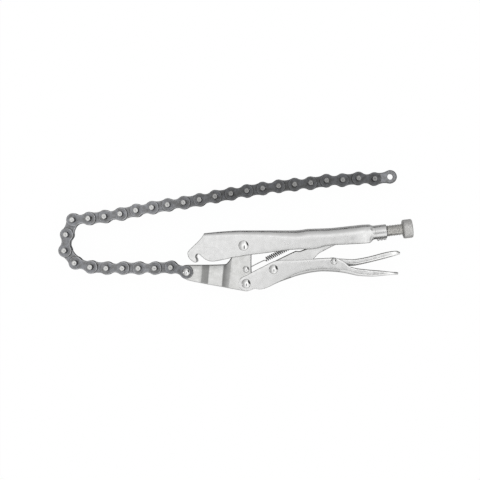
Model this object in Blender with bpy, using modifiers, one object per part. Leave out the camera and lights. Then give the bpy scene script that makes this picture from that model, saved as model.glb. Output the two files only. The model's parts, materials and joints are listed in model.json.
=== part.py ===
"""A chain clamp: a locking plier with a chain riveted to its movable jaw.

It lies flat as on a bench, in metres. X runs from the chain's bend to the adjusting
knob, Y from the lower handle to the upper one, and Z up through the tool's thickness.
Each piece is drawn in its own flat frame, about the rivet that it turns on.
"""

from math import asin, atan2, cos, pi, radians, sin, sqrt

import bmesh
import bpy
from mathutils import Matrix, Vector

# Fits
GAP = 0.0003
OVERRUN = 0.004

# Flat link chain, 5/8 inch pitch: by turns an outer link with two long pins, and an inner link
PITCH = 0.015875
PIN_DIAMETER = 0.00508
PLATE_DEPTH = 0.0133
PLATE_SHEET = 0.0017
OUTER_WAIST = 0.0084
INNER_WAIST = 0.0103
INNER_SPACE = 0.0009
BOSS_DIAMETER = 0.0094
BENDS_DEGREES = (
    163, 20, -3, 0, 0, -4, -11, -35, -46, -17, -62, 2, 2, 4, -3,
    0, -2, 2, 2, -2, 0, -1, -1, -2, -1, 4, -7, 4, -8, 10,
)

# Upper handle, a sheet channel whose nose is the fixed jaw
HANDLE_LENGTH = 0.1975
HANDLE_DEPTH = 0.0320
HANDLE_SHEET = 0.0023
HANDLE_BEND = 0.0042
CHAIN_PLAY = 0.00225
COLLAR_DIAMETER = 0.0138
COLLAR_LENGTH = 0.0150
CRIMP_DIAMETER = 0.0044
CRIMP_LENGTH = 0.0102
SCREW_TILT = radians(6.5)
LUG_SHEET = 0.0016
LUG_WIDTH = 0.0056
LUG_HOLE = 0.0024

# Movable jaw, two stamped halves
JAW_REACH = 0.0632
JAW_DEPTH = 0.0453
JAW_SHEET = 0.0020
JAW_NOSE_RADIUS = 0.0070
JAW_EYE_RADIUS = 0.0092
JAW_HEEL_RADIUS = 0.0077

# Toggle link
LINK_LENGTH = 0.0781
LINK_DEPTH = 0.0120
LINK_SHEET = 0.0020
LINK_TAIL_RADIUS = 0.0048
OVER_CENTRE = radians(2.75)
LINK_BEND = 0.0014

# Lower handle
LOWER_LENGTH = 0.1500
LOWER_DEPTH = 0.0324
LOWER_SHEET = 0.0021
LOWER_BEND = 0.0036

# Release lever
LEVER_LENGTH = 0.0655
LEVER_ROOM = 0.0081
LEVER_DEPTH = 0.0106
LEVER_SHEET = 0.0016
LEVER_BEND = 0.0026

# Rivets
HEAD_RISE = 0.0013
JAW_RIVET = 0.0060
JAW_HEAD = 0.0098
HANDLE_RIVET = 0.0056
HANDLE_HEAD = 0.0090
LEVER_RIVET = 0.0040
LEVER_HEAD = 0.0066
ANCHOR_HEAD = 0.0077
ANCHOR_RISE = 0.0016
SPRING_RIVET = 0.0036
SPRING_HEAD = 0.0064
SPRING_RISE = 0.0012

# Adjusting screw
THREAD_DIAMETER = 0.0111
THREAD_DEPTH = 0.0007
THREAD_PITCH = 0.0016
THREAD_LENGTH = 0.0330
THREAD_SHOWN = 0.0160
TIP_CLEARANCE = 0.0030
KNOB_DIAMETER = 0.0187
KNOB_LENGTH = 0.0098
KNOB_ROUND = 0.0016
SPIGOT_DIAMETER = 0.0066
SPIGOT_LENGTH = 0.0070

# Jaw spring
WIRE_DIAMETER = 0.0009
COIL_DIAMETER = 0.0040
COIL_TURNS = 16
COIL_PITCH = 0.00198
HOOK_LENGTH = 0.0065

# Facets
PIN_SIDES = 8
LOBE_STEPS = 6
RIVET_SIDES = 14
THREAD_SIDES = 12
BEND_STEPS = 2
KNOB_SIDES = 20
COIL_STEPS = 8

# Heights above and below the tool's middle plane
INNER_PLATE = INNER_SPACE / 2
INNER_PLATE_TOP = INNER_PLATE + PLATE_SHEET
PIN_PLATE = INNER_PLATE_TOP + GAP
PIN_PLATE_TOP = PIN_PLATE + PLATE_SHEET
CHANNEL_HALF = PIN_PLATE_TOP + CHAIN_PLAY
HANDLE_HALF = CHANNEL_HALF + HANDLE_SHEET
REST_LEVEL = HANDLE_HALF + GAP + HEAD_RISE
LOWER_HALF = CHANNEL_HALF + LOWER_SHEET
JAW_REAR_TOP = CHANNEL_HALF - GAP
JAW_FRONT_TOP = PIN_PLATE - GAP
LINK_HALF = CHANNEL_HALF - GAP
LEVER_HALF = CHANNEL_HALF - GAP

# Upper handle: along its length from the nose, and up from its web in shares of its depth
NOSE_SHARES = (
    (0.082, 0.50), (0.082, -0.09), (0.004, -0.64), (0.000, -0.72), (0.008, -0.86),
    (0.020, -0.93), (0.034, -0.985), (0.044, -0.985), (0.047, -0.93), (0.045, -0.88),
    (0.041, -0.83), (0.041, -0.78), (0.045, -0.745), (0.052, -0.730), (0.060, -0.742),
    (0.070, -0.80), (0.084, -0.875), (0.099, -0.925), (0.122, -0.955), (0.148, -0.940),
    (0.193, -0.883), (0.230, -0.830), (0.262, -0.800), (0.262, -1.30), (1.06, -1.30), (1.06, 0.50),
)
# Each station: along, web, open edge, half width, bend, as shares of the sizes above
HANDLE_SHARES = (
    (-0.010, -0.145, -1.06, 1.0, 1.0),
    (0.063, -0.102, -1.06, 1.0, 1.0),
    (0.123, -0.060, -1.02, 1.0, 1.0),
    (0.193, -0.022, -0.93, 1.0, 1.0),
    (0.265, 0.000, -0.797, 1.0, 1.0),
    (0.393, 0.000, -0.695, 1.0, 1.0),
    (0.516, 0.000, -0.597, 1.0, 1.05),
    (0.563, 0.015, -0.582, 1.0, 1.1),
    (0.601, 0.049, -0.582, 1.0, 1.2),
    (0.649, 0.058, -0.548, 1.0, 1.25),
    (0.704, 0.071, -0.462, 1.0, 1.3),
    (0.819, 0.142, -0.425, 1.0, 1.35),
    (0.903, 0.188, -0.388, 0.90, 1.4),
    (0.938, 0.178, -0.270, 0.82, 1.4),
)
JAW_PIVOT_SHARES = (0.279, -0.465)
SCREW_SHARES = (0.996, -0.020)
LUG_SHARES = (0.563, -0.360)

# Movable jaw, from its pivot, in shares of its reach and its depth
JAW_TOP_SHARES = ((-0.296, -0.412), (-0.245, -0.365), (-0.200, -0.275), (-0.165, -0.14))
JAW_BACK_SHARES = ((0.120, -0.08), (0.120, -0.62), (0.150, -0.74))
JAW_BELLY_SHARES = ((-0.045, -0.980), (-0.324, -0.910), (-0.672, -0.825), (-0.88, -0.762))
CHAIN_ANCHOR_SHARES = (-0.899, -0.580)
HEEL_SHARES = (0.0405, -0.8283)
SPRING_PIN_SHARES = (0.037, -0.520)
# Where the halves step inward: the start and end of each slope, in shares of the reach
STEP_SHARES = (-0.666, -0.535, -0.324, -0.192)

# Lower handle, from the jaw's rivet: along, web, open edge, half width, bend
LOWER_SHARES = (
    (-0.0487, -0.037, 0.037, 1.0, 0.1),
    (-0.0413, -0.123, 0.123, 1.0, 0.1),
    (-0.0253, -0.194, 0.194, 1.0, 0.1),
    (0.000, -0.228, 0.247, 1.0, 0.1),
    (0.030, -0.204, 0.320, 1.0, 0.1),
    (0.057, -0.152, 0.385, 1.0, 0.1),
    (0.087, -0.178, 0.457, 1.0, 0.1),
    (0.224, 0.058, 0.710, 1.0, 0.3),
    (0.294, 0.172, 0.713, 1.0, 0.7),
    (0.355, 0.259, 0.716, 1.0, 1.0),
    (0.440, 0.340, 0.744, 1.0, 1.0),
    (0.502, 0.367, 0.762, 1.0, 1.0),
    (0.565, 0.358, 0.772, 1.0, 1.0),
    (0.596, 0.346, 0.770, 1.0, 1.0),
    (0.618, 0.336, 0.728, 1.0, 1.0),
    (0.649, 0.315, 0.642, 1.0, 1.0),
    (0.684, 0.281, 0.510, 1.0, 1.0),
    (0.743, 0.228, 0.443, 1.0, 0.9),
    (0.831, 0.210, 0.400, 1.0, 0.9),
    (0.905, 0.238, 0.372, 1.0, 0.8),
    (0.963, 0.262, 0.340, 0.93, 0.6),
    (1.000, 0.262, 0.334, 0.72, 0.4),
)
WEB_START_SHARE = 0.300
ELBOW_SHARES = (0.1801, 0.4364)
LEVER_PIVOT_SHARES = (0.577, 0.673)

# Toggle link, from its rivet towards the screw: along, web, open edge, half width, bend
LINK_SHARES = (
    (-0.080, 0.10, -0.10, 1.0, 0.2),
    (-0.056, 0.38, -0.38, 1.0, 1.0),
    (0.000, 0.53, -0.53, 1.0, 1.0),
    (0.115, 0.57, -0.66, 1.0, 1.0),
    (0.277, 0.59, -0.93, 1.0, 1.0),
    (0.350, 0.59, -1.00, 1.0, 1.0),
    (0.393, 0.43, -0.99, 1.0, 1.0),
    (0.462, 0.40, -0.83, 0.97, 1.0),
    (0.525, 0.41, -0.59, 0.93, 1.0),
    (0.621, 0.41, -0.39, 0.85, 1.0),
    (0.817, 0.41, -0.34, 0.75, 1.0),
)
# How far the link's belly reaches along the handle
BELLY_SHARE = 0.421

# Release lever, from its rivet: along, web, open edge, half width, bend
LEVER_NOSE_SHARES = (
    (-1.00, -0.38, -0.17, 0.92, 0.3),
    (-0.645, -0.45, 0.05, 1.0, 0.4),
    (-0.268, -0.47, 0.28, 1.0, 0.6),
)
LEVER_SHARES = (
    (0.000, -0.47, 0.34, 1.0, 0.8),
    (0.081, -0.46, 0.24, 1.0, 1.0),
    (0.171, -0.44, 0.21, 1.0, 1.0),
    (0.287, -0.43, 0.17, 1.0, 1.0),
    (0.400, -0.31, 0.25, 1.0, 1.0),
    (0.516, -0.15, 0.39, 1.0, 1.0),
    (0.635, 0.03, 0.57, 1.0, 0.9),
    (0.752, 0.21, 0.77, 1.0, 0.8),
    (0.886, 0.44, 0.93, 0.97, 0.7),
    (0.959, 0.58, 0.97, 0.88, 0.6),
    (1.000, 0.66, 0.85, 0.70, 0.4),
)


def clear_scene():
    for item in list(bpy.data.objects):
        bpy.data.objects.remove(item, do_unlink=True)


def new_collection(name):
    made = bpy.data.collections.new(name)
    bpy.context.scene.collection.children.link(made)
    return made


def metal(name, colour, roughness, metallic):
    made = bpy.data.materials.new(name)
    made.use_nodes = True
    shader = made.node_tree.nodes["Principled BSDF"]
    shader.inputs["Base Color"].default_value = (*colour, 1)
    shader.inputs["Roughness"].default_value = roughness
    shader.inputs["Metallic"].default_value = metallic
    made.diffuse_color = (*colour, 1)
    return made


def place(item, collection, parent=None, matrix=None):
    """Links an object, hangs it on its parent, and gives it its place in the parent's frame."""
    collection.objects.link(item)
    item.parent = parent
    item.matrix_local = matrix if matrix else Matrix()
    return item


def part(name, mesh, material, parent, matrix=None, angle=30):
    mesh.materials.clear()
    mesh.materials.append(material)
    mesh.shade_smooth()
    mesh.set_sharp_from_angle(angle=radians(angle))
    return place(bpy.data.objects.new(name, mesh), PARTS, parent, matrix)


def helper(name, mesh, parent, matrix=None):
    """A shape that only cuts another or is joined to it."""
    item = place(bpy.data.objects.new(name, mesh), HELPERS, parent, matrix)
    item.hide_render = True
    item.display_type = "WIRE"
    return item


def combine(item, other, operation, solver="EXACT"):
    step = item.modifiers.new(other.name, "BOOLEAN")
    step.operation = operation
    step.object = other
    step.solver = solver


def evaluated_mesh(item):
    bpy.context.view_layer.update()
    graph = bpy.context.evaluated_depsgraph_get()
    return bpy.data.meshes.new_from_object(item.evaluated_get(graph), depsgraph=graph)


def finish(shape, name):
    """Turns a bmesh into a mesh whose faces point outward."""
    bmesh.ops.remove_doubles(shape, verts=shape.verts, dist=GAP / 1000)
    bmesh.ops.recalc_face_normals(shape, faces=shape.faces)
    mesh = bpy.data.meshes.new(name)
    shape.to_mesh(mesh)
    shape.free()
    return mesh


def slab(name, outlines, low, high):
    """Flat outlines, the first one outside and the rest holes, thickened between two heights."""
    curve = bpy.data.curves.new(name, "CURVE")
    curve.dimensions = "2D"
    curve.fill_mode = "BOTH"
    curve.extrude = (high - low) / 2
    for outline in outlines:
        spline = curve.splines.new("POLY")
        spline.points.add(len(outline) - 1)
        spline.use_cyclic_u = True
        for point, (x, y) in zip(spline.points, outline):
            point.co = (x, y, 0, 1)
    drawn = place(bpy.data.objects.new(name, curve), PARTS)
    shape = bmesh.new()
    flat = evaluated_mesh(drawn)
    shape.from_mesh(flat)
    bmesh.ops.translate(shape, verts=shape.verts, vec=(0, 0, (low + high) / 2))
    bpy.data.objects.remove(drawn)
    bpy.data.curves.remove(curve)
    bpy.data.meshes.remove(flat)
    return finish(shape, name)


def drum(name, radius, low, high, sides):
    """A cylinder about Z between two heights."""
    shape = bmesh.new()
    bmesh.ops.create_cone(
        shape, cap_ends=True, segments=sides, radius1=radius, radius2=radius, depth=high - low
    )
    bmesh.ops.translate(shape, verts=shape.verts, vec=(0, 0, (low + high) / 2))
    return finish(shape, name)


def block(name, low, high):
    shape = bmesh.new()
    bmesh.ops.create_cube(shape, size=1)
    bmesh.ops.scale(shape, verts=shape.verts, vec=Vector(high) - Vector(low))
    bmesh.ops.translate(shape, verts=shape.verts, vec=(Vector(high) + Vector(low)) / 2)
    return finish(shape, name)


def turned(name, profile, sides):
    """A profile of radii and heights, from the top down, turned about Z."""
    line = bpy.data.meshes.new(name)
    points = [(radius, 0, height) for radius, height in profile]
    line.from_pydata(points, [(i, i + 1) for i in range(len(points) - 1)], [])
    item = place(bpy.data.objects.new(name, line), PARTS)
    screw = item.modifiers.new("Turn", "SCREW")
    screw.steps = screw.render_steps = sides
    screw.use_merge_vertices = True
    screw.merge_threshold = GAP / 1000
    shape = bmesh.new()
    made = evaluated_mesh(item)
    shape.from_mesh(made)
    bpy.data.objects.remove(item)
    bpy.data.meshes.remove(made)
    bpy.data.meshes.remove(line)
    return finish(shape, name)


def scaled(shares, length, depth):
    return [(x * length, y * depth) for x, y in shares]


def arc(centre, radius, start, end, steps):
    """Points along an arc, both ends included, with its angles in degrees."""
    turns = [radians(start + (end - start) * i / steps) for i in range(steps + 1)]
    return [(centre[0] + radius * cos(turn), centre[1] + radius * sin(turn)) for turn in turns]


def ring(centre, radius, sides):
    return arc(centre, radius, 0, 360 - 360 / sides, sides - 1)


def polar(length, angle):
    return Vector((length * cos(angle), length * sin(angle)))


def at(point, angle=0.0):
    """A place in the flat frame: a point and a turn about Z."""
    return Matrix.Translation((point[0], point[1], 0)) @ Matrix.Rotation(angle, 4, "Z")


def u_section(x, web, lip, half, bend, sheet):
    """The closed outline of a channel's section: round the outside, then back along the inside."""
    side = 1 if lip > web else -1
    height = abs(lip - web)
    floor = min(sheet, height / 3)
    inner = max(min(bend - sheet, height / 4), floor / 5)
    points = []
    for depth, width, radius in ((0, half, bend), (floor, half - sheet, inner)):
        centre = (width - radius, web + side * (depth + radius))
        turn = arc((0, 0), radius, 0, 90, BEND_STEPS)
        near = [(centre[0] + z, centre[1] - side * y) for z, y in turn]
        far = [(-z, y) for z, y in reversed(near)]
        wall = [(width, lip), *near, *far, (-width, lip)]
        points += wall if depth == 0 else reversed(wall)
    return [(x, y, z) for z, y in points]


def channel(name, stations, sheet):
    """A bent sheet channel, lofted through a U section at each station."""
    shape = bmesh.new()
    rows = [[shape.verts.new(point) for point in u_section(*station, sheet)] for station in stations]
    count = len(rows[0])
    for first, second in zip(rows, rows[1:]):
        for i in range(count):
            j = (i + 1) % count
            shape.faces.new((first[i], first[j], second[j], second[i]))
    shape.faces.new(rows[0])
    shape.faces.new(rows[-1])
    return finish(shape, name)


def stations(shares, length, depth, half, bend):
    return [(x * length, web * depth, lip * depth, w * half, b * bend) for x, web, lip, w, b in shares]


def link_mesh(name, waist, low, high, cores, bores):
    """Two plates with a lobe at each end, joined by what goes through them.

    cores holds the radius and the half length of what joins the plates at each end, and
    bores the radius of the hole there, or None."""
    lobe = PLATE_DEPTH / 2
    shoulder = 90 + (90 - asin(waist / PLATE_DEPTH) * 180 / pi) / 2
    outline = arc((PITCH, 0), lobe, -shoulder, shoulder, LOBE_STEPS)
    outline += [(PITCH / 2, waist / 2)]
    outline += arc((0, 0), lobe, 180 - shoulder, 180 + shoulder, LOBE_STEPS)
    outline += [(PITCH / 2, -waist / 2)]
    item = place(bpy.data.objects.new(name, slab(name, [outline], low, high)), PARTS)
    twin = place(bpy.data.objects.new("twin", slab("twin", [outline], -high, -low)), PARTS)
    combine(item, twin, "UNION", "MANIFOLD")
    extras = [twin]
    for spot, core, bore in zip(((0, 0), (PITCH, 0)), cores, bores):
        for size, operation in ((core, "UNION"), (bore, "DIFFERENCE")):
            if size:
                mesh = drum(operation.lower(), size[0], -size[1], size[1], PIN_SIDES)
                extras.append(place(bpy.data.objects.new(mesh.name, mesh), PARTS, None, at(spot)))
                combine(item, extras[-1], operation, "MANIFOLD")
    made = evaluated_mesh(item)
    for thing in [item, *extras]:
        bpy.data.objects.remove(thing)
    made.name = name
    return made


def make_chain(jaw_frame, anchor, chain_steel, end_steel):
    """Links hung one on the next: outer and inner ones by turns, from the anchor outward."""
    pin = (PIN_DIAMETER / 2, REST_LEVEL)
    bore = ((PIN_DIAMETER / 2 + GAP) / cos(pi / PIN_SIDES), REST_LEVEL)
    boss = (BOSS_DIAMETER / 2, (INNER_PLATE + INNER_PLATE_TOP) / 2)
    outside = (OUTER_WAIST, PIN_PLATE, PIN_PLATE_TOP)
    first = link_mesh("first_link", *outside, (None, pin), (bore, None))
    outer = link_mesh("pin_link", *outside, (pin, pin), (None, None))
    inside = (INNER_WAIST, INNER_PLATE, INNER_PLATE_TOP)
    inner = link_mesh("inner_link", *inside, (boss, boss), (bore, bore))
    parent, spot = jaw_frame, anchor
    last = len(BENDS_DEGREES) - 1
    for k, bend in enumerate(BENDS_DEGREES):
        mesh = first if k == 0 else (outer, inner)[k % 2]
        steel = chain_steel
        if k == last:
            mesh, steel = inner.copy(), end_steel
        name = f"chain_link_{k + 1:02d}"
        parent = part(name, mesh, steel, parent, at(spot, radians(bend)))
        spot = (PITCH, 0)


def rivet_profile(shank, head, seat, top):
    """A shank between two domed heads that seat a gap off the faces they hold."""
    base = seat + GAP
    rise = top - base
    edge = rise / 3
    dome = [(head * sin(radians(a)), base + edge + (rise - edge) * cos(radians(a))) for a in (0, 45, 90)]
    upper = [*dome, (head, base), (shank, base)]
    return upper + [(radius, -height) for radius, height in reversed(upper)]


def rivet(name, shank, head, seat, top, steel, parent, spot):
    profile = rivet_profile(shank / 2, head / 2, seat, top)
    return part(name, turned(name, profile, RIVET_SIDES), steel, parent, at(spot))


def hole(item, parent, spot, diameter, reach):
    """Cuts a round hole for a shank through a piece."""
    radius = (diameter / 2 + GAP) / cos(pi / RIVET_SIDES)
    name = f"{item.name}_hole_{len(item.modifiers)}"
    combine(item, helper(name, drum(name, radius, -reach, reach, RIVET_SIDES), parent, at(spot)), "DIFFERENCE")


def make_upper_handle(root, steel):
    origin = -Vector(scaled([JAW_PIVOT_SHARES], HANDLE_LENGTH, HANDLE_DEPTH)[0])
    frame = at(origin)
    rows = stations(HANDLE_SHARES, HANDLE_LENGTH, HANDLE_DEPTH, HANDLE_HALF, HANDLE_BEND)
    handle = part("upper_handle", channel("upper_handle", rows, HANDLE_SHEET), steel, root, frame)
    reach = HANDLE_HALF + OVERRUN
    nose = scaled(NOSE_SHARES, HANDLE_LENGTH, HANDLE_DEPTH)
    combine(handle, helper("nose_form", slab("nose_form", [nose], -reach, reach), root, frame), "INTERSECT")
    screw = screw_frame()
    radius = COLLAR_DIAMETER / 2
    collar = drum("collar", radius, -COLLAR_LENGTH, 0, 2 * RIVET_SIDES)
    combine(handle, helper("collar", collar, root, screw), "UNION")
    crimp_spot = Matrix.Translation((0, CRIMP_DIAMETER / 4 - radius, 0))
    crimp = drum("crimp", CRIMP_DIAMETER / 2, -CRIMP_LENGTH, -GAP, RIVET_SIDES)
    combine(handle, helper("crimp", crimp, root, screw @ crimp_spot), "UNION")
    bore = drum("screw_bore", THREAD_DIAMETER / 2 + GAP, -COLLAR_LENGTH - OVERRUN, OVERRUN, 2 * RIVET_SIDES)
    combine(handle, helper("screw_bore", bore, root, screw), "DIFFERENCE")
    lug_x, lug_y = scaled([LUG_SHARES], HANDLE_LENGTH, HANDLE_DEPTH)[0]
    outline = arc((lug_x, lug_y), LUG_WIDTH / 2, 180, 360, LOBE_STEPS)
    outline += [(lug_x + LUG_WIDTH / 2, -HANDLE_SHEET / 2), (lug_x - LUG_WIDTH / 2, -HANDLE_SHEET / 2)]
    eye = ring((lug_x, lug_y), LUG_HOLE / 2, PIN_SIDES)
    lug = slab("spring_lug", [outline, eye], -LUG_SHEET / 2, LUG_SHEET / 2)
    combine(handle, helper("spring_lug", lug, root, frame), "UNION")
    hole(handle, root, (0, 0), JAW_RIVET, reach)
    rivet("jaw_pivot_rivet", JAW_RIVET, JAW_HEAD, HANDLE_HALF, REST_LEVEL, BRIGHT, root, (0, 0))
    return Vector((lug_x, lug_y)) + origin


def screw_point():
    pivot = Vector(scaled([JAW_PIVOT_SHARES], HANDLE_LENGTH, HANDLE_DEPTH)[0])
    return Vector(scaled([SCREW_SHARES], HANDLE_LENGTH, HANDLE_DEPTH)[0]) - pivot


def screw_frame():
    """The screw's own frame: Z along its axis, outward, from the collar's outer face."""
    return at(screw_point(), SCREW_TILT) @ Matrix.Rotation(pi / 2, 4, "Y")


def heel_point():
    """The jaw's rivet with the lower handle, from the jaw's pivot."""
    return Vector(scaled([HEEL_SHARES], JAW_REACH, JAW_DEPTH)[0])


def elbow_point():
    """The link's rivet in the lower handle, from the jaw's rivet and in the handle's frame."""
    return Vector(scaled([ELBOW_SHARES], LOWER_LENGTH, LOWER_DEPTH)[0])


def solve_linkage():
    """The rest places of the jaw's rivet, the link's rivet and the link's tail.

    The tail lies on the screw's axis, and the link's rivet has passed the line between the
    other two by the over centre angle, which is what locks the plier."""
    heel = heel_point()
    crank = elbow_point().length
    span = sqrt(crank**2 + LINK_LENGTH**2 + 2 * crank * LINK_LENGTH * cos(OVER_CENTRE))
    start, way = screw_point(), polar(1, SCREW_TILT)
    offset = start - heel
    along = offset.dot(way)
    tail = start + way * (sqrt(along**2 - offset.length_squared + span**2) - along)
    line = tail - heel
    lead = asin(LINK_LENGTH * sin(OVER_CENTRE) / span)
    elbow = heel + polar(crank, atan2(line.y, line.x) + lead)
    return heel, elbow, tail


def jaw_outline():
    anchor = scaled([CHAIN_ANCHOR_SHARES], JAW_REACH, JAW_DEPTH)[0]
    heel = heel_point()
    outline = arc(anchor, JAW_NOSE_RADIUS, 255, 90, LOBE_STEPS + 3)
    outline += scaled(JAW_TOP_SHARES, JAW_REACH, JAW_DEPTH)
    outline += arc((0, 0), JAW_EYE_RADIUS, 170, 25, LOBE_STEPS + 2)
    outline += scaled(JAW_BACK_SHARES, JAW_REACH, JAW_DEPTH)
    outline += arc(heel, JAW_HEEL_RADIUS, 15, -105, LOBE_STEPS + 2)
    outline += scaled(JAW_BELLY_SHARES, JAW_REACH, JAW_DEPTH)
    return outline, anchor, heel


def stepped_sheet():
    """The upper half's sheet seen from the side: outer face, then back along the inner one."""
    front, first, second, rear = (share * JAW_REACH for share in STEP_SHARES)
    middle = (JAW_FRONT_TOP + JAW_REAR_TOP) / 2
    far = JAW_REACH + 2 * JAW_NOSE_RADIUS
    outer = [(-far, JAW_FRONT_TOP), (front, JAW_FRONT_TOP), (first, middle)]
    outer += [(second, middle), (rear, JAW_REAR_TOP), (far, JAW_REAR_TOP)]
    return outer + [(x, z - JAW_SHEET) for x, z in reversed(outer)]


def make_jaw(root, steel):
    """Two mirrored halves, each the outline cut from a sheet that steps inward to the front."""
    outline, anchor, heel = jaw_outline()
    spring_pin = scaled([SPRING_PIN_SHARES], JAW_REACH, JAW_DEPTH)[0]
    frame = place(bpy.data.objects.new("jaw_axis", None), PARTS, root)
    reach = JAW_DEPTH + 2 * JAW_HEEL_RADIUS
    for name, sign in (("jaw_half_top", 1), ("jaw_half_bottom", -1)):
        low, high = sorted((0, sign * (JAW_REAR_TOP + OVERRUN)))
        half = part(name, slab(name, [outline], low, high), steel, frame)
        profile = [(x, -sign * z) for x, z in stepped_sheet()]
        sheet = slab(f"{name}_sheet", [profile], -reach, reach)
        combine(
            half, helper(sheet.name, sheet, frame, Matrix.Rotation(-pi / 2, 4, "X")), "INTERSECT"
        )
        for spot, diameter in (
            ((0, 0), JAW_RIVET),
            (anchor, PIN_DIAMETER),
            (heel, HANDLE_RIVET),
            (spring_pin, SPRING_RIVET),
        ):
            hole(half, frame, spot, diameter, JAW_REAR_TOP + OVERRUN)
    rivet(
        "chain_anchor_rivet", PIN_DIAMETER, ANCHOR_HEAD, PIN_PLATE_TOP,
        PIN_PLATE_TOP + GAP + ANCHOR_RISE, BRIGHT, frame, anchor,
    )
    rivet(
        "spring_pin", SPRING_RIVET, SPRING_HEAD, JAW_REAR_TOP,
        JAW_REAR_TOP + GAP + SPRING_RISE, BRIGHT, frame, spring_pin,
    )
    rivet("jaw_handle_rivet", HANDLE_RIVET, HANDLE_HEAD, LOWER_HALF, REST_LEVEL, BRIGHT, frame, heel)
    return frame, Vector(anchor), Vector(spring_pin)


def make_lower_handle(jaw_frame, heel, elbow, steel):
    elbow_spot = elbow_point()
    line = elbow - heel
    frame = at(heel, atan2(line.y, line.x) - atan2(elbow_spot.y, elbow_spot.x))
    rows = stations(LOWER_SHARES, LOWER_LENGTH, LOWER_DEPTH, LOWER_HALF, LOWER_BEND)
    handle = part("lower_handle", channel("lower_handle", rows, LOWER_SHEET), steel, jaw_frame, frame)
    start = -2 * JAW_HEEL_RADIUS
    mouth = block(
        "ear_space",
        (start, -LOWER_DEPTH, -CHANNEL_HALF),
        (WEB_START_SHARE * LOWER_LENGTH, LOWER_DEPTH, CHANNEL_HALF),
    )
    combine(handle, helper("ear_space", mouth, handle), "DIFFERENCE")
    reach = LOWER_HALF + OVERRUN
    lever_spot = scaled([LEVER_PIVOT_SHARES], LOWER_LENGTH, LOWER_DEPTH)[0]
    hole(handle, handle, (0, 0), HANDLE_RIVET, reach)
    hole(handle, handle, elbow_spot, HANDLE_RIVET, reach)
    hole(handle, handle, lever_spot, LEVER_RIVET, reach)
    rivet("toggle_rivet", HANDLE_RIVET, HANDLE_HEAD, LOWER_HALF, REST_LEVEL, BRIGHT, handle, elbow_spot)
    rivet("lever_rivet", LEVER_RIVET, LEVER_HEAD, LOWER_HALF, REST_LEVEL, BRIGHT, handle, lever_spot)
    return handle, frame, lever_spot


def make_toggle_link(lower, lower_frame, elbow, tail, steel):
    line = tail - elbow
    local = lower_frame.inverted() @ at(elbow, atan2(line.y, line.x))
    rows = stations(LINK_SHARES, LINK_LENGTH, LINK_DEPTH, LINK_HALF, LINK_BEND)
    width, bend = rows[-1][3], rows[-1][4]
    for angle in (90, 60, 35, 15):
        reach = LINK_TAIL_RADIUS * sin(radians(angle))
        along = LINK_LENGTH + LINK_TAIL_RADIUS * cos(radians(angle))
        rows.append((along, reach, -reach, width, min(bend, reach / 2)))
    link = part("toggle_link", channel("toggle_link", rows, LINK_SHEET), steel, lower, local)
    hole(link, link, (0, 0), HANDLE_RIVET, LINK_HALF + OVERRUN)


def make_release_lever(lower, spot, steel):
    """The nose in front of the rivet reaches as far as the toggle link's belly leaves room."""
    nose = spot[0] - elbow_point().x - BELLY_SHARE * LINK_LENGTH - LEVER_ROOM
    rows = stations(LEVER_NOSE_SHARES, nose, LEVER_DEPTH, LEVER_HALF, LEVER_BEND)
    rows += stations(LEVER_SHARES, LEVER_LENGTH, LEVER_DEPTH, LEVER_HALF, LEVER_BEND)
    lever = part("release_lever", channel("release_lever", rows, LEVER_SHEET), steel, lower, at(spot))
    hole(lever, lever, (0, 0), LEVER_RIVET, LEVER_HALF + OVERRUN)


def thread_profile(tip):
    """From the outer end down: the spigot in the knob, the ridges, and the plain shank to its tip."""
    crest = THREAD_DIAMETER / 2
    root = crest - THREAD_DEPTH
    top = THREAD_SHOWN
    profile = [(0, top + SPIGOT_LENGTH), (SPIGOT_DIAMETER / 2, top + SPIGOT_LENGTH)]
    profile += [(SPIGOT_DIAMETER / 2, top - GAP), (root, top - GAP)]
    for turn in range(int(THREAD_LENGTH / THREAD_PITCH)):
        height = top - GAP - turn * THREAD_PITCH
        profile += [(crest, height - THREAD_PITCH / 2), (root, height - THREAD_PITCH)]
    chamfer = THREAD_DEPTH + GAP
    return profile + [(crest - THREAD_DEPTH, tip + chamfer), (crest - THREAD_DEPTH - chamfer, tip), (0, tip)]


def make_screw(root, tail, steel, knob_steel):
    frame = screw_frame()
    tip = (tail - screw_point()).dot(polar(1, SCREW_TILT)) + LINK_TAIL_RADIUS + TIP_CLEARANCE
    shank = turned("adjusting_screw", thread_profile(tip), THREAD_SIDES)
    part("adjusting_screw", shank, steel, root, frame, 20)
    radius, low, high = KNOB_DIAMETER / 2, THREAD_SHOWN, THREAD_SHOWN + KNOB_LENGTH
    bore = SPIGOT_DIAMETER / 2 + GAP
    upper = [(radius - KNOB_ROUND + x, high - KNOB_ROUND + y) for x, y in arc((0, 0), KNOB_ROUND, 90, 0, 3)]
    lower = [(radius - KNOB_ROUND + x, low + KNOB_ROUND + y) for x, y in arc((0, 0), KNOB_ROUND, 0, -90, 3)]
    seat = low + SPIGOT_LENGTH + GAP
    profile = [(0, high), *upper, *lower, (bore, low), (bore, seat), (0, seat)]
    part("adjusting_knob", turned("adjusting_knob", profile, KNOB_SIDES), knob_steel, root, frame)


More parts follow.
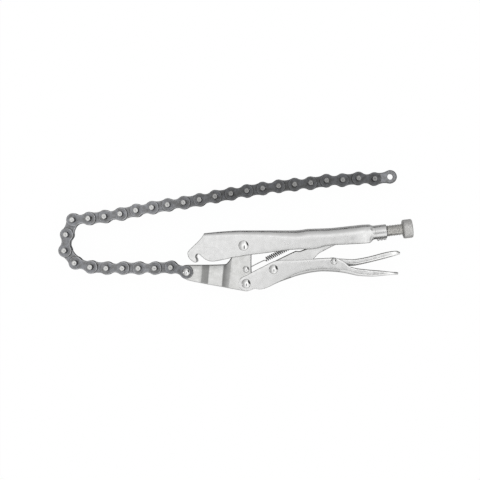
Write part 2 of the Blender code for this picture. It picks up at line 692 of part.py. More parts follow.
def spring_path(pin, lug):
    """The wire's points from its loop on the jaw's pin, along the coil, to its hook in the lug."""
    wire, coil = WIRE_DIAMETER / 2, COIL_DIAMETER / 2
    span = lug - pin
    way = span.normalized()
    lead = span.length - COIL_TURNS * COIL_PITCH - HOOK_LENGTH
    across = Vector((-way.y, way.x))
    eye = (SPRING_RIVET / 2 + GAP) / cos(pi / RIVET_SIDES) + wire
    climb = WIRE_DIAMETER + 2 * GAP
    points = []
    steps = COIL_STEPS + 4
    for i in range(steps + 1):
        turn = radians(-60 + 330 * i / steps)
        spot = pin + way * (eye * cos(turn)) + across * (eye * sin(turn))
        points.append((*spot, -climb / 2 + climb * i / steps))
    for i in range(COIL_TURNS * COIL_STEPS + 1):
        turn = 2 * pi * i / COIL_STEPS - pi / 2
        along = lead + COIL_PITCH * i / COIL_STEPS
        spot = pin + way * along + across * (coil * sin(turn))
        points.append((*spot, coil * cos(turn)))
    beside = LUG_SHEET / 2 + wire + GAP
    points.append((*(lug - way * (2 * coil)), beside))
    points.append((*(lug - way * wire), beside))
    points.append((*lug, beside - wire))
    points.append((*lug, -beside - wire))
    return points


def least_gap(points):
    """The smallest clear space between lengths of wire that aren't neighbours along it."""
    skip = COIL_STEPS // 2 + 1
    nearest = min(
        (Vector(a) - Vector(b)).length
        for i, a in enumerate(points)
        for b in points[i + skip:]
    )
    return nearest - WIRE_DIAMETER


def make_spring(root, pin, lug, steel):
    points = spring_path(pin, lug)
    print(f"jaw spring: least gap to itself {least_gap(points) * 1000:.2f} mm")
    curve = bpy.data.curves.new("jaw_spring", "CURVE")
    curve.dimensions = "3D"
    curve.bevel_depth = WIRE_DIAMETER / 2
    curve.bevel_resolution = 1
    curve.use_fill_caps = True
    spline = curve.splines.new("POLY")
    spline.points.add(len(points) - 1)
    for point, spot in zip(spline.points, points):
        point.co = (*spot, 1)
    curve.materials.append(steel)
    place(bpy.data.objects.new("jaw_spring", curve), PARTS, root)


def settle(root):
    """Moves the whole model so that its box stands on the origin, centred."""
    bpy.context.view_layer.update()
    graph = bpy.context.evaluated_depsgraph_get()
    corners = []
    for item in PARTS.objects:
        if item.type != "EMPTY":
            shown = item.evaluated_get(graph)
            mesh = shown.to_mesh()
            corners += [shown.matrix_world @ vertex.co for vertex in mesh.vertices]
            shown.to_mesh_clear()
    low = Vector([min(corner[i] for corner in corners) for i in range(3)])
    high = Vector([max(corner[i] for corner in corners) for i in range(3)])
    root.location -= Vector(((low.x + high.x) / 2, (low.y + high.y) / 2, low.z))
    print("size in mm:", [round(side * 1000, 1) for side in high - low])


def main():
    root = place(bpy.data.objects.new("tool_frame", None), PARTS)
    heel, elbow, tail = solve_linkage()
    lug = make_upper_handle(root, PLATED)
    jaw_frame, anchor, spring_pin = make_jaw(root, PLATED)
    lower, lower_frame, lever_spot = make_lower_handle(jaw_frame, heel, elbow, PLATED)
    make_toggle_link(lower, lower_frame, elbow, tail, PLATED)
    make_release_lever(lower, lever_spot, PLATED)
    make_screw(root, tail, SCREW_STEEL, KNOB_STEEL)
    make_spring(root, spring_pin, lug, WIRE_STEEL)
    make_chain(jaw_frame, anchor, CHAIN_STEEL, END_STEEL)
    settle(root)


clear_scene()
PARTS = new_collection("chain_clamp")
HELPERS = new_collection("cutters")
HELPERS.hide_render = True
PLATED = metal("bright_plate", (0.78, 0.78, 0.77), 0.28, 1.0)
BRIGHT = metal("rivet_steel", (0.82, 0.82, 0.81), 0.22, 1.0)
CHAIN_STEEL = metal("chain_steel", (0.22, 0.23, 0.25), 0.38, 0.9)
END_STEEL = metal("end_link_steel", (0.42, 0.43, 0.44), 0.40, 0.9)
SCREW_STEEL = metal("screw_steel", (0.36, 0.35, 0.33), 0.40, 1.0)
KNOB_STEEL = metal("knob_steel", (0.40, 0.39, 0.37), 0.45, 1.0)
WIRE_STEEL = metal("spring_wire", (0.16, 0.16, 0.17), 0.35, 1.0)
main()
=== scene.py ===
# %% [markdown]
# # Chain clamp
# The object is a locking plier whose jaw carries a length of flat chain. It was photographed
# from straight above, lying flat on white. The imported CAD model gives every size, place and joint.
# This script keeps them and models each piece again with the detail that a close look needs:
# rolled edges, domed rivets, stamped chain plates, a cut thread and a knurled knob.

# %% Load the frame
import json
from math import atan2, cos, degrees, pi, radians, sin, sqrt

import bmesh
import bpy
from mathutils import Matrix, Vector

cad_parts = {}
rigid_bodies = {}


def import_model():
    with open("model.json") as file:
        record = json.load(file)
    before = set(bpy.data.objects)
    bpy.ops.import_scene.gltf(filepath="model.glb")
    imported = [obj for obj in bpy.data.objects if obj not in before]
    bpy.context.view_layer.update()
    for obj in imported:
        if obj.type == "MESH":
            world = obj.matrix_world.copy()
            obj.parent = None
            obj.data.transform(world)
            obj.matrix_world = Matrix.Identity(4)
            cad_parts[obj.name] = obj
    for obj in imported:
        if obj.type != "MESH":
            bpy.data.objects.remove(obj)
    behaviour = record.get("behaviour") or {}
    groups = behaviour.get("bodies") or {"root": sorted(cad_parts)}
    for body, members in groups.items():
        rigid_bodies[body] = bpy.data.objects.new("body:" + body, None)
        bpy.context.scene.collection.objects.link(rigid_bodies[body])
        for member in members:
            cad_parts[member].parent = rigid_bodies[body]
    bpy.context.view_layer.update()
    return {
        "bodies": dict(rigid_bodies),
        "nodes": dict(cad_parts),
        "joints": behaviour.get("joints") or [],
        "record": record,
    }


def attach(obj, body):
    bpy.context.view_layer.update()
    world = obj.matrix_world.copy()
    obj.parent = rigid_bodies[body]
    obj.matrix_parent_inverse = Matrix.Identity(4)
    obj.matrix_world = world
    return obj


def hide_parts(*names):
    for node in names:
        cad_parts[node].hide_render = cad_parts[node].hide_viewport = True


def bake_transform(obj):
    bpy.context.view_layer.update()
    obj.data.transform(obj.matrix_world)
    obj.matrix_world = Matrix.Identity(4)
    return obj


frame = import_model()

JOINTS = {joint["name"]: joint for joint in frame["joints"]}
print("pieces to dress:", len(frame["nodes"]), "joints:", len(JOINTS))


# %% Object helper
def add_object(name, data):
    """A new object in the scene that shows this data."""
    thing = bpy.data.objects.new(name, data)
    bpy.context.scene.collection.objects.link(thing)
    return thing


# %% [markdown]
# ## Camera
# The photo shows the top of the tool and just a sliver of each chain pin's side: on the right of
# the pins in the left half, and on the left of the last ones. So the camera looked straight
# down, from a point above the middle of the handles. Only the framing put that point right of the
# picture's middle, which is what a lens shift does.

# %% Camera
PICTURE_SIDE = 480
CAMERA_FROM_PIVOT = Vector((0.0454, 0.0054, 0.0))
CAMERA_HEIGHT = 1.000
FOCAL_PIXELS = 996.71
AXIS_PIXEL = 289.6
SENSOR_WIDTH = 36.0

camera_data = bpy.data.cameras.new("photo_camera")
camera_data.sensor_width = SENSOR_WIDTH
camera_data.lens = FOCAL_PIXELS / PICTURE_SIDE * SENSOR_WIDTH
camera_data.shift_x = (PICTURE_SIDE / 2 - AXIS_PIXEL) / PICTURE_SIDE
camera = add_object("photo_camera", camera_data)
camera.location = Vector(JOINTS["jaw_hinge"]["pos_m"]) + CAMERA_FROM_PIVOT
camera.location.z = CAMERA_HEIGHT
bpy.context.scene.camera = camera
bpy.context.scene.view_settings.view_transform = "Standard"
print("lens in mm:", round(camera_data.lens, 2))

# %% [markdown]
# ## Building node trees
# Every finish below is a small tree of shader nodes. One helper adds a node and fills its sockets:
# a plain value is set on the socket itself, and the output of another node is linked to it. The
# others are the few sums that come back in every tree.

# %% Node helpers
def add_node(tree, kind, inputs=(), **settings):
    """A shader node. inputs are its sockets by name or number, and settings its own choices."""
    node = tree.nodes.new(f"ShaderNode{kind}")
    for name, value in settings.items():
        setattr(node, name, value)
    for name, value in dict(inputs).items():
        if isinstance(value, bpy.types.NodeSocket):
            tree.links.new(value, node.inputs[name])
        else:
            node.inputs[name].default_value = value
    return node


def grey(value):
    return (value, value, value, 1.0)


def add_ramp(tree, factor, stops):
    """A colour ramp through (position, colour) stops."""
    node = add_node(tree, "ValToRGB", {"Fac": factor})
    ramp = node.color_ramp
    while len(ramp.elements) < len(stops):
        ramp.elements.new(0.5)
    for element, (position, colour) in zip(ramp.elements, stops):
        element.position = position
        element.color = colour
    return node.outputs["Color"]


def worked_out(tree, operation, first, second):
    """The result of one sum on two values."""
    return add_node(tree, "Math", {0: first, 1: second}, operation=operation).outputs[0]


def ranged(tree, value, start, end, low=0.0, high=1.0):
    """A value moved from the range start to end into the range low to high, and kept in it."""
    return add_node(tree, "MapRange", {
        "Value": value, "From Min": start, "From Max": end, "To Min": low, "To Max": high,
    }).outputs["Result"]


def multiplied(tree, colour, tone):
    """A colour times another one, or times a level of grey."""
    return add_node(tree, "Mix", {0: 1.0, 6: colour, 7: tone}, data_type="RGBA",
                    blend_type="MULTIPLY").outputs[2]


def straight_rays(tree, path):
    """1 for the rays that see plain white: the camera's own, and those that pass through glass."""
    return worked_out(tree, "MAXIMUM", path["Is Camera Ray"], path["Is Transmission Ray"])


# %% [markdown]
# ## Stage and light
# Bright metal has hardly any colour of its own: it shows what stands round it. A sky that is
# white all over would make it look like paper, so for reflections the sky here is a light tent:
# brightest overhead, greyer towards its walls, and lighter on its near and right sides than on
# the others. A dark card gives the rivets' domes their crescent, and a thin bar, the camera's own
# stand, the streak down their middle. What a mirror shows is the direction of the ray, so the
# tent is built from directions. The camera itself sees plain white, and dull surfaces are lit by
# an even sky.

# %% Tent's levels
SKY_LEVEL = 0.80
TENT_LEVEL = 0.80
TENT_BY_HEIGHT = (
    (0.0, 0.50), (0.35, 0.54), (0.60, 0.59), (0.79, 0.65), (0.92, 0.77), (0.98, 0.91), (1.0, 1.0),
)
TENT_BY_SIDE = (
    (-1.0, 0.62), (-0.60, 0.74), (-0.42, 0.85), (-0.25, 1.10), (0.0, 1.12), (0.14, 1.50),
    (0.45, 1.35), (0.60, 1.10), (0.85, 1.40), (1.0, 1.90),
)
NEAR_WALL, FAR_WALL = 1.58, 1.10
CARD_TURN = radians(25)
CARD_SPOT = (0.70, 0.0)
CARD_HALF = (0.18, 0.54)
CARD_LEVEL = 0.04
BAR_SPOT = (0.10, -0.27)
BAR_HALF = (0.12, 0.36)
BAR_LEVEL = 0.15
PATCH_EDGE = (0.75, 1.15)
print("levels up the tent:", len(TENT_BY_HEIGHT), "and across it:", len(TENT_BY_SIDE))

# %% Sky
world = bpy.data.worlds.new("light_tent")
bpy.context.scene.world = world
world.use_nodes = True
sky = world.node_tree
sky.nodes.clear()
direction = add_node(sky, "TexCoord").outputs["Generated"]
axes = add_node(sky, "SeparateXYZ", {"Vector": direction}).outputs
height = add_ramp(sky, axes["Z"], [(place, grey(level)) for place, level in TENT_BY_HEIGHT])
sideways = ranged(sky, axes["X"], -1.0, 1.0)
sides = add_ramp(sky, sideways, [((place + 1) / 2, grey(level)) for place, level in TENT_BY_SIDE])
ends = ranged(sky, axes["Y"], -1.0, 1.0, NEAR_WALL, FAR_WALL)
walls = worked_out(sky, "MULTIPLY", sides, ends)


def patch(centre, half, turn, level):
    """A dark oval seen straight up from the tool: 1 round it, and the level inside it."""
    turned = add_node(sky, "VectorRotate", {"Vector": direction, "Angle": -turn}, rotation_type="Z_AXIS")
    placed = add_node(sky, "Mapping", {
        "Vector": turned.outputs["Vector"], "Scale": (1 / half[0], 1 / half[1], 0.0),
        "Location": (-centre[0] / half[0], -centre[1] / half[1], 0.0),
    })
    reach = add_node(sky, "VectorMath", {0: placed.outputs["Vector"]}, operation="LENGTH")
    return ranged(sky, reach.outputs["Value"], *PATCH_EDGE, level, 1.0)


card = patch(CARD_SPOT, CARD_HALF, CARD_TURN, CARD_LEVEL)
bar = patch(BAR_SPOT, BAR_HALF, 0.0, BAR_LEVEL)
dark_shapes = worked_out(sky, "MULTIPLY", card, bar)
tent = multiplied(sky, height, worked_out(sky, "MULTIPLY", walls, dark_shapes))
path = add_node(sky, "LightPath").outputs
plain, soft, shiny = (
    add_node(sky, "Background", {"Color": colour, "Strength": level}).outputs[0]
    for colour, level in ((grey(1.0), 1.0), (grey(1.0), SKY_LEVEL), (tent, TENT_LEVEL))
)
lit = add_node(sky, "MixShader", {"Fac": path["Is Glossy Ray"], 1: soft, 2: shiny}).outputs[0]
seen = add_node(sky, "MixShader", {"Fac": straight_rays(sky, path), 1: lit, 2: plain}).outputs[0]
add_node(sky, "OutputWorld", {"Surface": seen})
print("sky nodes:", len(sky.nodes))

# %% [markdown]
# ## Floor and lamp
# The floor is a plain pale sheet. The camera sees it as white, with a little of its real colour
# mixed in so that the tool still leaves a faint shadow. Reflections see its real colour, which is
# what darkens the rolled edges of the handles. One weak lamp stands low on the left, out of what
# the flat plates mirror, and lightens the left flanks of the pins and plates a little.

# %% Floor
FLOOR_SIDE = 6.0
FLOOR_GREY = 0.58
SHADOW_SHARE = 0.045
GLOW_LEVEL = 1.025

floor_shape = bmesh.new()
bmesh.ops.create_grid(floor_shape, x_segments=1, y_segments=1, size=FLOOR_SIDE / 2)
floor_mesh = bpy.data.meshes.new("floor")
floor_shape.to_mesh(floor_mesh)
floor_shape.free()
floor = add_object("floor", floor_mesh)

paper = bpy.data.materials.new("white_paper")
paper.use_nodes = True
tree = paper.node_tree
tree.nodes.clear()
matt = add_node(tree, "BsdfDiffuse", {"Color": grey(FLOOR_GREY)}).outputs[0]
glow = add_node(tree, "Emission", {"Color": grey(1.0), "Strength": GLOW_LEVEL}).outputs[0]
path = add_node(tree, "LightPath").outputs
white = worked_out(tree, "MULTIPLY", straight_rays(tree, path), 1.0 - SHADOW_SHARE)
mixed = add_node(tree, "MixShader", {"Fac": white, 1: matt, 2: glow}).outputs[0]
add_node(tree, "OutputMaterial", {"Surface": mixed})
floor_mesh.materials.append(paper)
print("floor side in m:", FLOOR_SIDE)

# %% Lamp
LAMP_SIDE = 0.30
LAMP_SPOT = Vector((-1.15, -0.30, 0.52))
LAMP_WATTS = 0.4

lamp_data = bpy.data.lights.new("softbox", "AREA")
lamp_data.shape = "SQUARE"
lamp_data.size = LAMP_SIDE
lamp_data.energy = LAMP_WATTS
lamp = add_object("softbox", lamp_data)
lamp.location = LAMP_SPOT
lamp.rotation_euler = LAMP_SPOT.to_track_quat("Z", "Y").to_euler()
print("lamp height in m:", LAMP_SPOT.z)

# %% [markdown]
# ## Sizes
# These are the clamp's own sizes in metres, the same as in the CAD model. The places come from
# the frame: each joint says where its rivet or pin stands. REACH is half the length of the drill
# that cuts the holes for them.

# %% Sizes of the sheet pieces
GAP = 0.0003
MIDDLE = JOINTS["jaw_hinge"]["pos_m"][2]
CHANNEL_HALF = 0.0064
HANDLE_LENGTH = 0.1975
HANDLE_DEPTH = 0.0320
HANDLE_SHEET = 0.0023
HANDLE_BEND = 0.0042
HANDLE_HALF = CHANNEL_HALF + HANDLE_SHEET
LOWER_LENGTH = 0.1500
LOWER_DEPTH = 0.0324
LOWER_SHEET = 0.0021
LOWER_BEND = 0.0036
LOWER_HALF = CHANNEL_HALF + LOWER_SHEET
LINK_LENGTH = 0.0781
LINK_DEPTH = 0.0120
LINK_SHEET = 0.0020
LINK_BEND = 0.0014
LINK_TAIL_RADIUS = 0.0048
LEVER_LENGTH = 0.0655
LEVER_DEPTH = 0.0106
LEVER_SHEET = 0.0016
LEVER_BEND = 0.0026
INSIDE_HALF = CHANNEL_HALF - GAP
CUT_ROUND = 0.00055
JAW_PIVOT_SHARES = (0.279, -0.465)
ELBOW_SHARES = (0.1801, 0.4364)
MM = 1000
print("handle width in mm:", 2 * HANDLE_HALF * MM)

# %% Shanks and their holes
JAW_RIVET_RADIUS = 0.0030
HANDLE_RIVET_RADIUS = 0.0028
SPRING_RIVET_RADIUS = 0.0018
LEVER_RIVET_RADIUS = 0.0020
PIN_RADIUS = 0.00254
HOLE_SIDES = 40
REACH = 0.014
print("chain pin in mm:", 2 * PIN_RADIUS * MM)


# %% Places
def joint_spot(name):
    return Vector(JOINTS[name]["pos_m"])


def turn_of(vector):
    return atan2(vector.y, vector.x)


def flat_frame(spot, angle=0.0):
    """The place of a piece that lies flat: its point in the model and its turn about Z."""
    return Matrix.Translation(spot) @ Matrix.Rotation(angle, 4, "Z")


def scaled(shares, length, depth):
    return [(x * length, y * depth) for x, y in shares]


PIVOT = joint_spot("jaw_hinge")
HEEL = joint_spot("lower_handle_hinge")
ELBOW = joint_spot("toggle_link_hinge")
LEVER_SPOT = joint_spot("release_lever_hinge")
SCREW_SPOT = joint_spot("knob_turn")
SCREW_AXIS = Vector(JOINTS["knob_turn"]["axis"]).normalized()

pivot_along, pivot_up = scaled([JAW_PIVOT_SHARES], HANDLE_LENGTH, HANDLE_DEPTH)[0]
UPPER_FRAME = flat_frame(PIVOT - Vector((pivot_along, pivot_up, 0)))
elbow_along, elbow_up = scaled([ELBOW_SHARES], LOWER_LENGTH, LOWER_DEPTH)[0]
LOWER_TURN = turn_of(ELBOW - HEEL) - atan2(elbow_up, elbow_along)
LOWER_FRAME = flat_frame(HEEL, LOWER_TURN)
LEVER_FRAME = flat_frame(LEVER_SPOT, LOWER_TURN)
JAW_FRAME = flat_frame(PIVOT)
to_elbow = ELBOW - SCREW_SPOT
back = to_elbow.dot(SCREW_AXIS)
TAIL = SCREW_SPOT + SCREW_AXIS * (back + sqrt(back**2 - to_elbow.length_squared + LINK_LENGTH**2))
LINK_FRAME = flat_frame(ELBOW, turn_of(TAIL - ELBOW))
SCREW_FRAME = flat_frame(SCREW_SPOT, turn_of(SCREW_AXIS)) @ Matrix.Rotation(pi / 2, 4, "Y")
print("lower handle's turn in degrees:", round(degrees(LOWER_TURN), 2))

# %% [markdown]
# ## Finishes
# The sheet pieces are bright plate, the rivets are polished domes and the chain is dark steel.
# Metal is never one even colour, so each finish has a slow mottling in its colour and its
# roughness, and a fine grain in its normals. One function builds them all from a few numbers.
# A finish may also change from place to place: the lower handle and the lever are painted lighter towards
# the right, as painted light.

# %% Metal helper
COLOUR_SPAN = (0.36, 0.64)
ROUGH_SPAN = (0.35, 0.65)
ROUGH_FINER = 1.7
PATCH_DETAIL, GRAIN_DETAIL = 3.0, 2.0
EVEN = (1.0, 1.0, 1.0)
BRUSHED_ALONG, BRUSHED_ACROSS = (0.12, 1.0, 1.0), (1.0, 0.12, 1.0)


def object_spots(tree, stretch=EVEN):
    """Object coordinates in metres, stretched."""
    spots = add_node(tree, "TexCoord").outputs["Object"]
    return add_node(tree, "Mapping", {"Vector": spots, "Scale": stretch}).outputs["Vector"]


def add_noise(tree, spots, scale, detail=PATCH_DETAIL):
    return add_node(tree, "TexNoise", {"Vector": spots, "Scale": scale, "Detail": detail}).outputs["Fac"]


def metal(name, dark, light, mottle, roughness, grain, depth, stretch=EVEN, shade=None):
    """A metal between two colours and two roughnesses.

    mottle and grain are sizes in metres and depth is the grain's height. shade, if given, is a
    function that changes the colour from place to place."""
    finish = bpy.data.materials.new(name)
    finish.use_nodes = True
    finish.diffuse_color = (*light, 1.0)
    tree = finish.node_tree
    tree.nodes.clear()
    spots = object_spots(tree)
    ends = zip(COLOUR_SPAN, (dark, light))
    colour = add_ramp(tree, add_noise(tree, spots, 1 / mottle), [(at, (*tone, 1.0)) for at, tone in ends])
    if shade:
        colour = shade(tree, colour)
    rough = ranged(tree, add_noise(tree, spots, ROUGH_FINER / mottle), *ROUGH_SPAN, *roughness)
    fine = add_noise(tree, object_spots(tree, stretch), 1 / grain, GRAIN_DETAIL)
    bump = add_node(tree, "Bump", {"Height": fine, "Distance": depth}).outputs["Normal"]
    shader = add_node(tree, "BsdfPrincipled", {
        "Base Color": colour, "Roughness": rough, "Metallic": 1.0, "Normal": bump,
    })
    add_node(tree, "OutputMaterial", {"Surface": shader.outputs[0]})
    return finish


def faded(start, end, share):
    """A shade that scales a colour with X, from its full self at start to this share at end."""
    def shade(tree, colour):
        along = add_node(tree, "SeparateXYZ", {"Vector": object_spots(tree)}).outputs["X"]
        return multiplied(tree, colour, ranged(tree, along, start, end, 1.0, share))
    return shade


# %% Sheet and rivet finishes
PLATE_COLOURS = ((0.755, 0.755, 0.75), (0.80, 0.80, 0.795))
PLATE_MOTTLE = 0.006
PLATE_GRAIN = (0.0006, 0.000001, BRUSHED_ALONG)
PAINTED_LIGHT_START, PAINTED_LIGHT_END = 0.075, 0.125
PAINTED_LIGHT_SHARE = 1.24
BRIGHT_PLATE = metal("bright_plate", *PLATE_COLOURS, PLATE_MOTTLE, (0.23, 0.31), *PLATE_GRAIN)
# Painted light: the lower handle and the lever grow lighter along X.
PAINTED_LIGHT_PLATE = metal(
    "painted_light_plate", *PLATE_COLOURS, PLATE_MOTTLE, (0.20, 0.28), *PLATE_GRAIN,
    faded(PAINTED_LIGHT_START, PAINTED_LIGHT_END, PAINTED_LIGHT_SHARE),
)
# Painted shade: a darker plate for the bends and rims, which turn away from the light.
SHADED_BEND_PLATE = metal(
    "painted_shade_bend", (0.60, 0.60, 0.595), (0.66, 0.66, 0.655), PLATE_MOTTLE, (0.24, 0.32), *PLATE_GRAIN,
)
# Painted shade: a dark finish for the sheet's cut edges, lips and hole walls and for the rivets' rims. It
# stands in for the dark outlines that these edges show.
SHADED_EDGE = metal(
    "painted_shade_edge", (0.20, 0.20, 0.195), (0.36, 0.36, 0.35), 0.002, (0.30, 0.45), 0.0003, 0.00001,
)
RIVET_STEEL = metal(
    "rivet_plate", (0.82, 0.82, 0.815), (0.90, 0.90, 0.89), 0.002, (0.04, 0.08), 0.0004, 0.000001,
)
print("sheet finishes:", BRIGHT_PLATE.name, SHADED_EDGE.name, RIVET_STEEL.name)

# %% [markdown]
# ## Lighter and darker links
# The links near the chain's bend are lighter and grey, and those of the long upper run are darker.
# Object coordinates are metres in the model's own frame, so their X says how far along the chain a
# link lies, and a range of X turns one tone into the other.

# %% Chain, screw and spring finishes
# The chain's colours are scaled darker along X, from the bend to the upper run.
CHAIN_FADE_START, CHAIN_FADE_END = -0.090, -0.010
CHAIN_STEEL = metal(
    "chain_plate", (0.225, 0.225, 0.225), (0.315, 0.322, 0.342), 0.004, (0.28, 0.46), 0.0004, 0.000006,
    shade=faded(CHAIN_FADE_START, CHAIN_FADE_END, 0.45),
)
# Painted highlight: the chain plates' rounded rims, lighter than the plate.
HIGHLIGHT_RIM_STEEL = metal(
    "painted_highlight_rim", (0.36, 0.36, 0.36), (0.50, 0.508, 0.53), 0.003, (0.28, 0.42), 0.0004, 0.000006,
    shade=faded(CHAIN_FADE_START, CHAIN_FADE_END, 0.42),
)
# Painted shade: near black, for the chain plates' sides, the bosses between plates, the coil's lower half
# and a ring at the collar.
PAINTED_SHADE = metal(
    "painted_shade_black", (0.03, 0.03, 0.03), (0.06, 0.06, 0.06), 0.002, (0.45, 0.60), 0.0003, 0.000010,
)
PIN_STEEL = metal(
    "ground_pin", (0.66, 0.66, 0.65), (0.82, 0.82, 0.81), 0.0015, (0.22, 0.34), 0.0003, 0.000005,
    shade=faded(CHAIN_FADE_START, CHAIN_FADE_END, 0.42),
)
END_LINK_STEEL = metal(
    "worn_end_plate", (0.235, 0.235, 0.235), (0.315, 0.32, 0.34), 0.003, (0.32, 0.50), 0.0004, 0.000010,
)
SCREW_STEEL = metal(
    "dull_screw", (0.62, 0.61, 0.59), (0.84, 0.83, 0.80), 0.0015, (0.22, 0.34), 0.0003, 0.000006,
)
KNOB_STEEL = metal(
    "knurled_knob", (0.56, 0.555, 0.54), (0.75, 0.745, 0.73), 0.0018, (0.36, 0.50), 0.0003, 0.000008,
)
SPRING_STEEL = metal(
    "spring_steel", (0.46, 0.46, 0.46), (0.64, 0.64, 0.63), 0.002, (0.22, 0.32), 0.0003, 0.000002,
)
print("dark finishes:", CHAIN_STEEL.name, SCREW_STEEL.name, SPRING_STEEL.name)

# %% [markdown]
# ## Turning bmeshes into pieces
# Every piece is drawn in its own small frame and then moved to its place in the mesh itself, so
# that its object stays at the origin. The same helpers smooth it, keep its sharp edges, put it on
# the body it rides on and hide the CAD node it stands for.

# %% Piece helpers
MERGE = GAP / 1000


def to_mesh(shape, name, finishes, matrix=None):
    """Merges a bmesh's doubles, points its faces outward and moves it to its place."""
    bmesh.ops.remove_doubles(shape, verts=shape.verts, dist=MERGE)
    if matrix:
        bmesh.ops.transform(shape, matrix=matrix, verts=shape.verts)
    bmesh.ops.recalc_face_normals(shape, faces=shape.faces)
    mesh = bpy.data.meshes.new(name)
    shape.to_mesh(mesh)
    shape.free()
    for finish in finishes:
        mesh.materials.append(finish)
    return mesh


def to_piece(mesh, body, nodes, sharp=35, level=False):
    """Makes the object. level keeps flat faces level up to their rims, as the sheet pieces want."""
    mesh.shade_smooth()
    mesh.set_sharp_from_angle(angle=radians(sharp))
    piece = add_object(mesh.name, mesh)
    if level:
        step = piece.modifiers.new("level_flats", "WEIGHTED_NORMAL")
        step.keep_sharp = True
    if body:
        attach(piece, body)
    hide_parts(*nodes)
    print(f"{piece.name}: {len(mesh.polygons)} faces")
    return piece


def cut(mesh, cutter, operation="DIFFERENCE"):
    """A Boolean of two meshes, worked out at once. The cutter's faces keep its own finish."""
    name = mesh.name
    item, tool = (add_object(each.name, each) for each in (mesh, cutter))
    step = item.modifiers.new("cut", "BOOLEAN")
    step.operation = operation
    step.object = tool
    step.solver = "EXACT"
    step.material_mode = "TRANSFER"
    bpy.context.view_layer.update()
    graph = bpy.context.evaluated_depsgraph_get()
    made = bpy.data.meshes.new_from_object(item.evaluated_get(graph), depsgraph=graph)
    for thing, old in ((item, mesh), (tool, cutter)):
        bpy.data.objects.remove(thing)
        bpy.data.meshes.remove(old)
    made.name = name
    return made


# %% Drawing helpers
def arc(centre, radius, start, end, steps):
    """Points along an arc, both ends included, with its angles in degrees."""
    turns = [radians(start + (end - start) * i / steps) for i in range(steps + 1)]
    return [(centre[0] + radius * cos(turn), centre[1] + radius * sin(turn)) for turn in turns]


def raised(points, height):
    """Flat points, lifted to a height."""
    return [(x, y, height) for x, y in points]


def draw_ring(shape, points):
    """A closed ring of edges through the points."""
    verts = [shape.verts.new(point) for point in points]
    return verts, [shape.edges.new(pair) for pair in zip(verts, verts[1:] + verts[:1])]


def draw_profile(shape, profile):
    """An open line through radii and heights, ready to be spun about Z."""
    verts = [shape.verts.new((radius, 0, height)) for radius, height in profile]
    return verts + [shape.edges.new(pair) for pair in zip(verts, verts[1:])]


def fill(shape, outline, height):
    """A flat face with this outline."""
    edges = draw_ring(shape, raised(outline, height))[1]
    return bmesh.ops.contextual_create(shape, geom=edges)["faces"]


# %% Solid helpers
def only_verts(items):
    return [item for item in items if isinstance(item, bmesh.types.BMVert)]


def extrude_faces(shape, faces):
    """Extrudes the faces and returns the new corners, for the caller to move."""
    return only_verts(bmesh.ops.extrude_face_region(shape, geom=faces)["geom"])


def slab_mesh(name, outline, half, finish, frame):
    """A flat outline, thickened by half to both sides of a piece's middle plane."""
    shape = bmesh.new()
    faces = fill(shape, outline, -half)
    bmesh.ops.translate(shape, verts=extrude_faces(shape, faces), vec=(0, 0, 2 * half))
    return to_mesh(shape, name, [finish], frame)


def add_turned(shape, profile, steps, centre=(0, 0), finish=0):
    """Spins a profile of radii and heights about a line along Z, into the same bmesh."""
    old_faces, old_verts = set(shape.faces), set(shape.verts)
    bmesh.ops.spin(
        shape, geom=draw_profile(shape, profile), cent=(0, 0, 0), axis=(0, 0, 1), steps=steps,
        angle=2 * pi, use_merge=True,
    )
    fresh = [vert for vert in shape.verts if vert not in old_verts]
    bmesh.ops.translate(shape, verts=fresh, vec=(*centre, 0))
    for face in shape.faces:
        if face not in old_faces:
            face.material_index = finish


# %% Cutting and rounding helpers
ROUND_STEPS = 2


def cut_across(shape, spot, normal, **more):
    """Cuts every face of a bmesh along a plane."""
    bmesh.ops.bisect_plane(
        shape, geom=[*shape.verts, *shape.edges, *shape.faces], dist=MERGE, plane_co=spot,
        plane_no=normal, **more,
    )


def drill(mesh, spots, frame, reach=REACH, room=GAP):
    """Round holes: each spot is a place and a shank's radius, with this much room round it."""
    for spot, radius in spots:
        shape = bmesh.new()
        bmesh.ops.create_cone(
            shape, cap_ends=True, segments=HOLE_SIDES, radius1=radius + room, radius2=radius + room,
            depth=2 * reach,
        )
        bmesh.ops.translate(shape, verts=shape.verts, vec=(*spot, 0))
        mesh = cut(mesh, to_mesh(shape, "drill", [SHADED_EDGE], frame))
    return mesh


def soften(mesh, width, angle, clamp=True):
    """Rounds every edge that turns by more than the angle, as tumbling does before the plating."""
    shape = bmesh.new()
    shape.from_mesh(mesh)
    edges = [e for e in shape.edges if e.is_manifold and e.calc_face_angle() > radians(angle)]
    bmesh.ops.bevel(
        shape, geom=edges, offset=width, offset_type="OFFSET", segments=ROUND_STEPS, profile=0.5,
        affect="EDGES", material=-1, clamp_overlap=clamp,
    )
    shape.to_mesh(mesh)
    shape.free()
    return mesh


# %% [markdown]
# ## Bent sheet
# Both handles, the toggle link and the release lever are sheet steel pressed into a channel: a
# U with a web and two walls. A table of stations gives the U's shape along each piece. The
# script draws the U once as a ring of edges, extrudes that ring from station to station, and
# moves each new ring to the shape wanted there. Between the stations it eases along a curve
# that never overshoots, so the sheet bends without ripples.

# %% Stations
def slopes(along, values):
    """Slopes for a curve through the values that never overshoots them."""
    steps = [b - a for a, b in zip(along, along[1:])]
    rates = [(b - a) / step for a, b, step in zip(values, values[1:], steps)]
    inner = [0 if a * b <= 0 else 2 * a * b / (a + b) for a, b in zip(rates, rates[1:])]
    return [rates[0], *inner, rates[-1]]


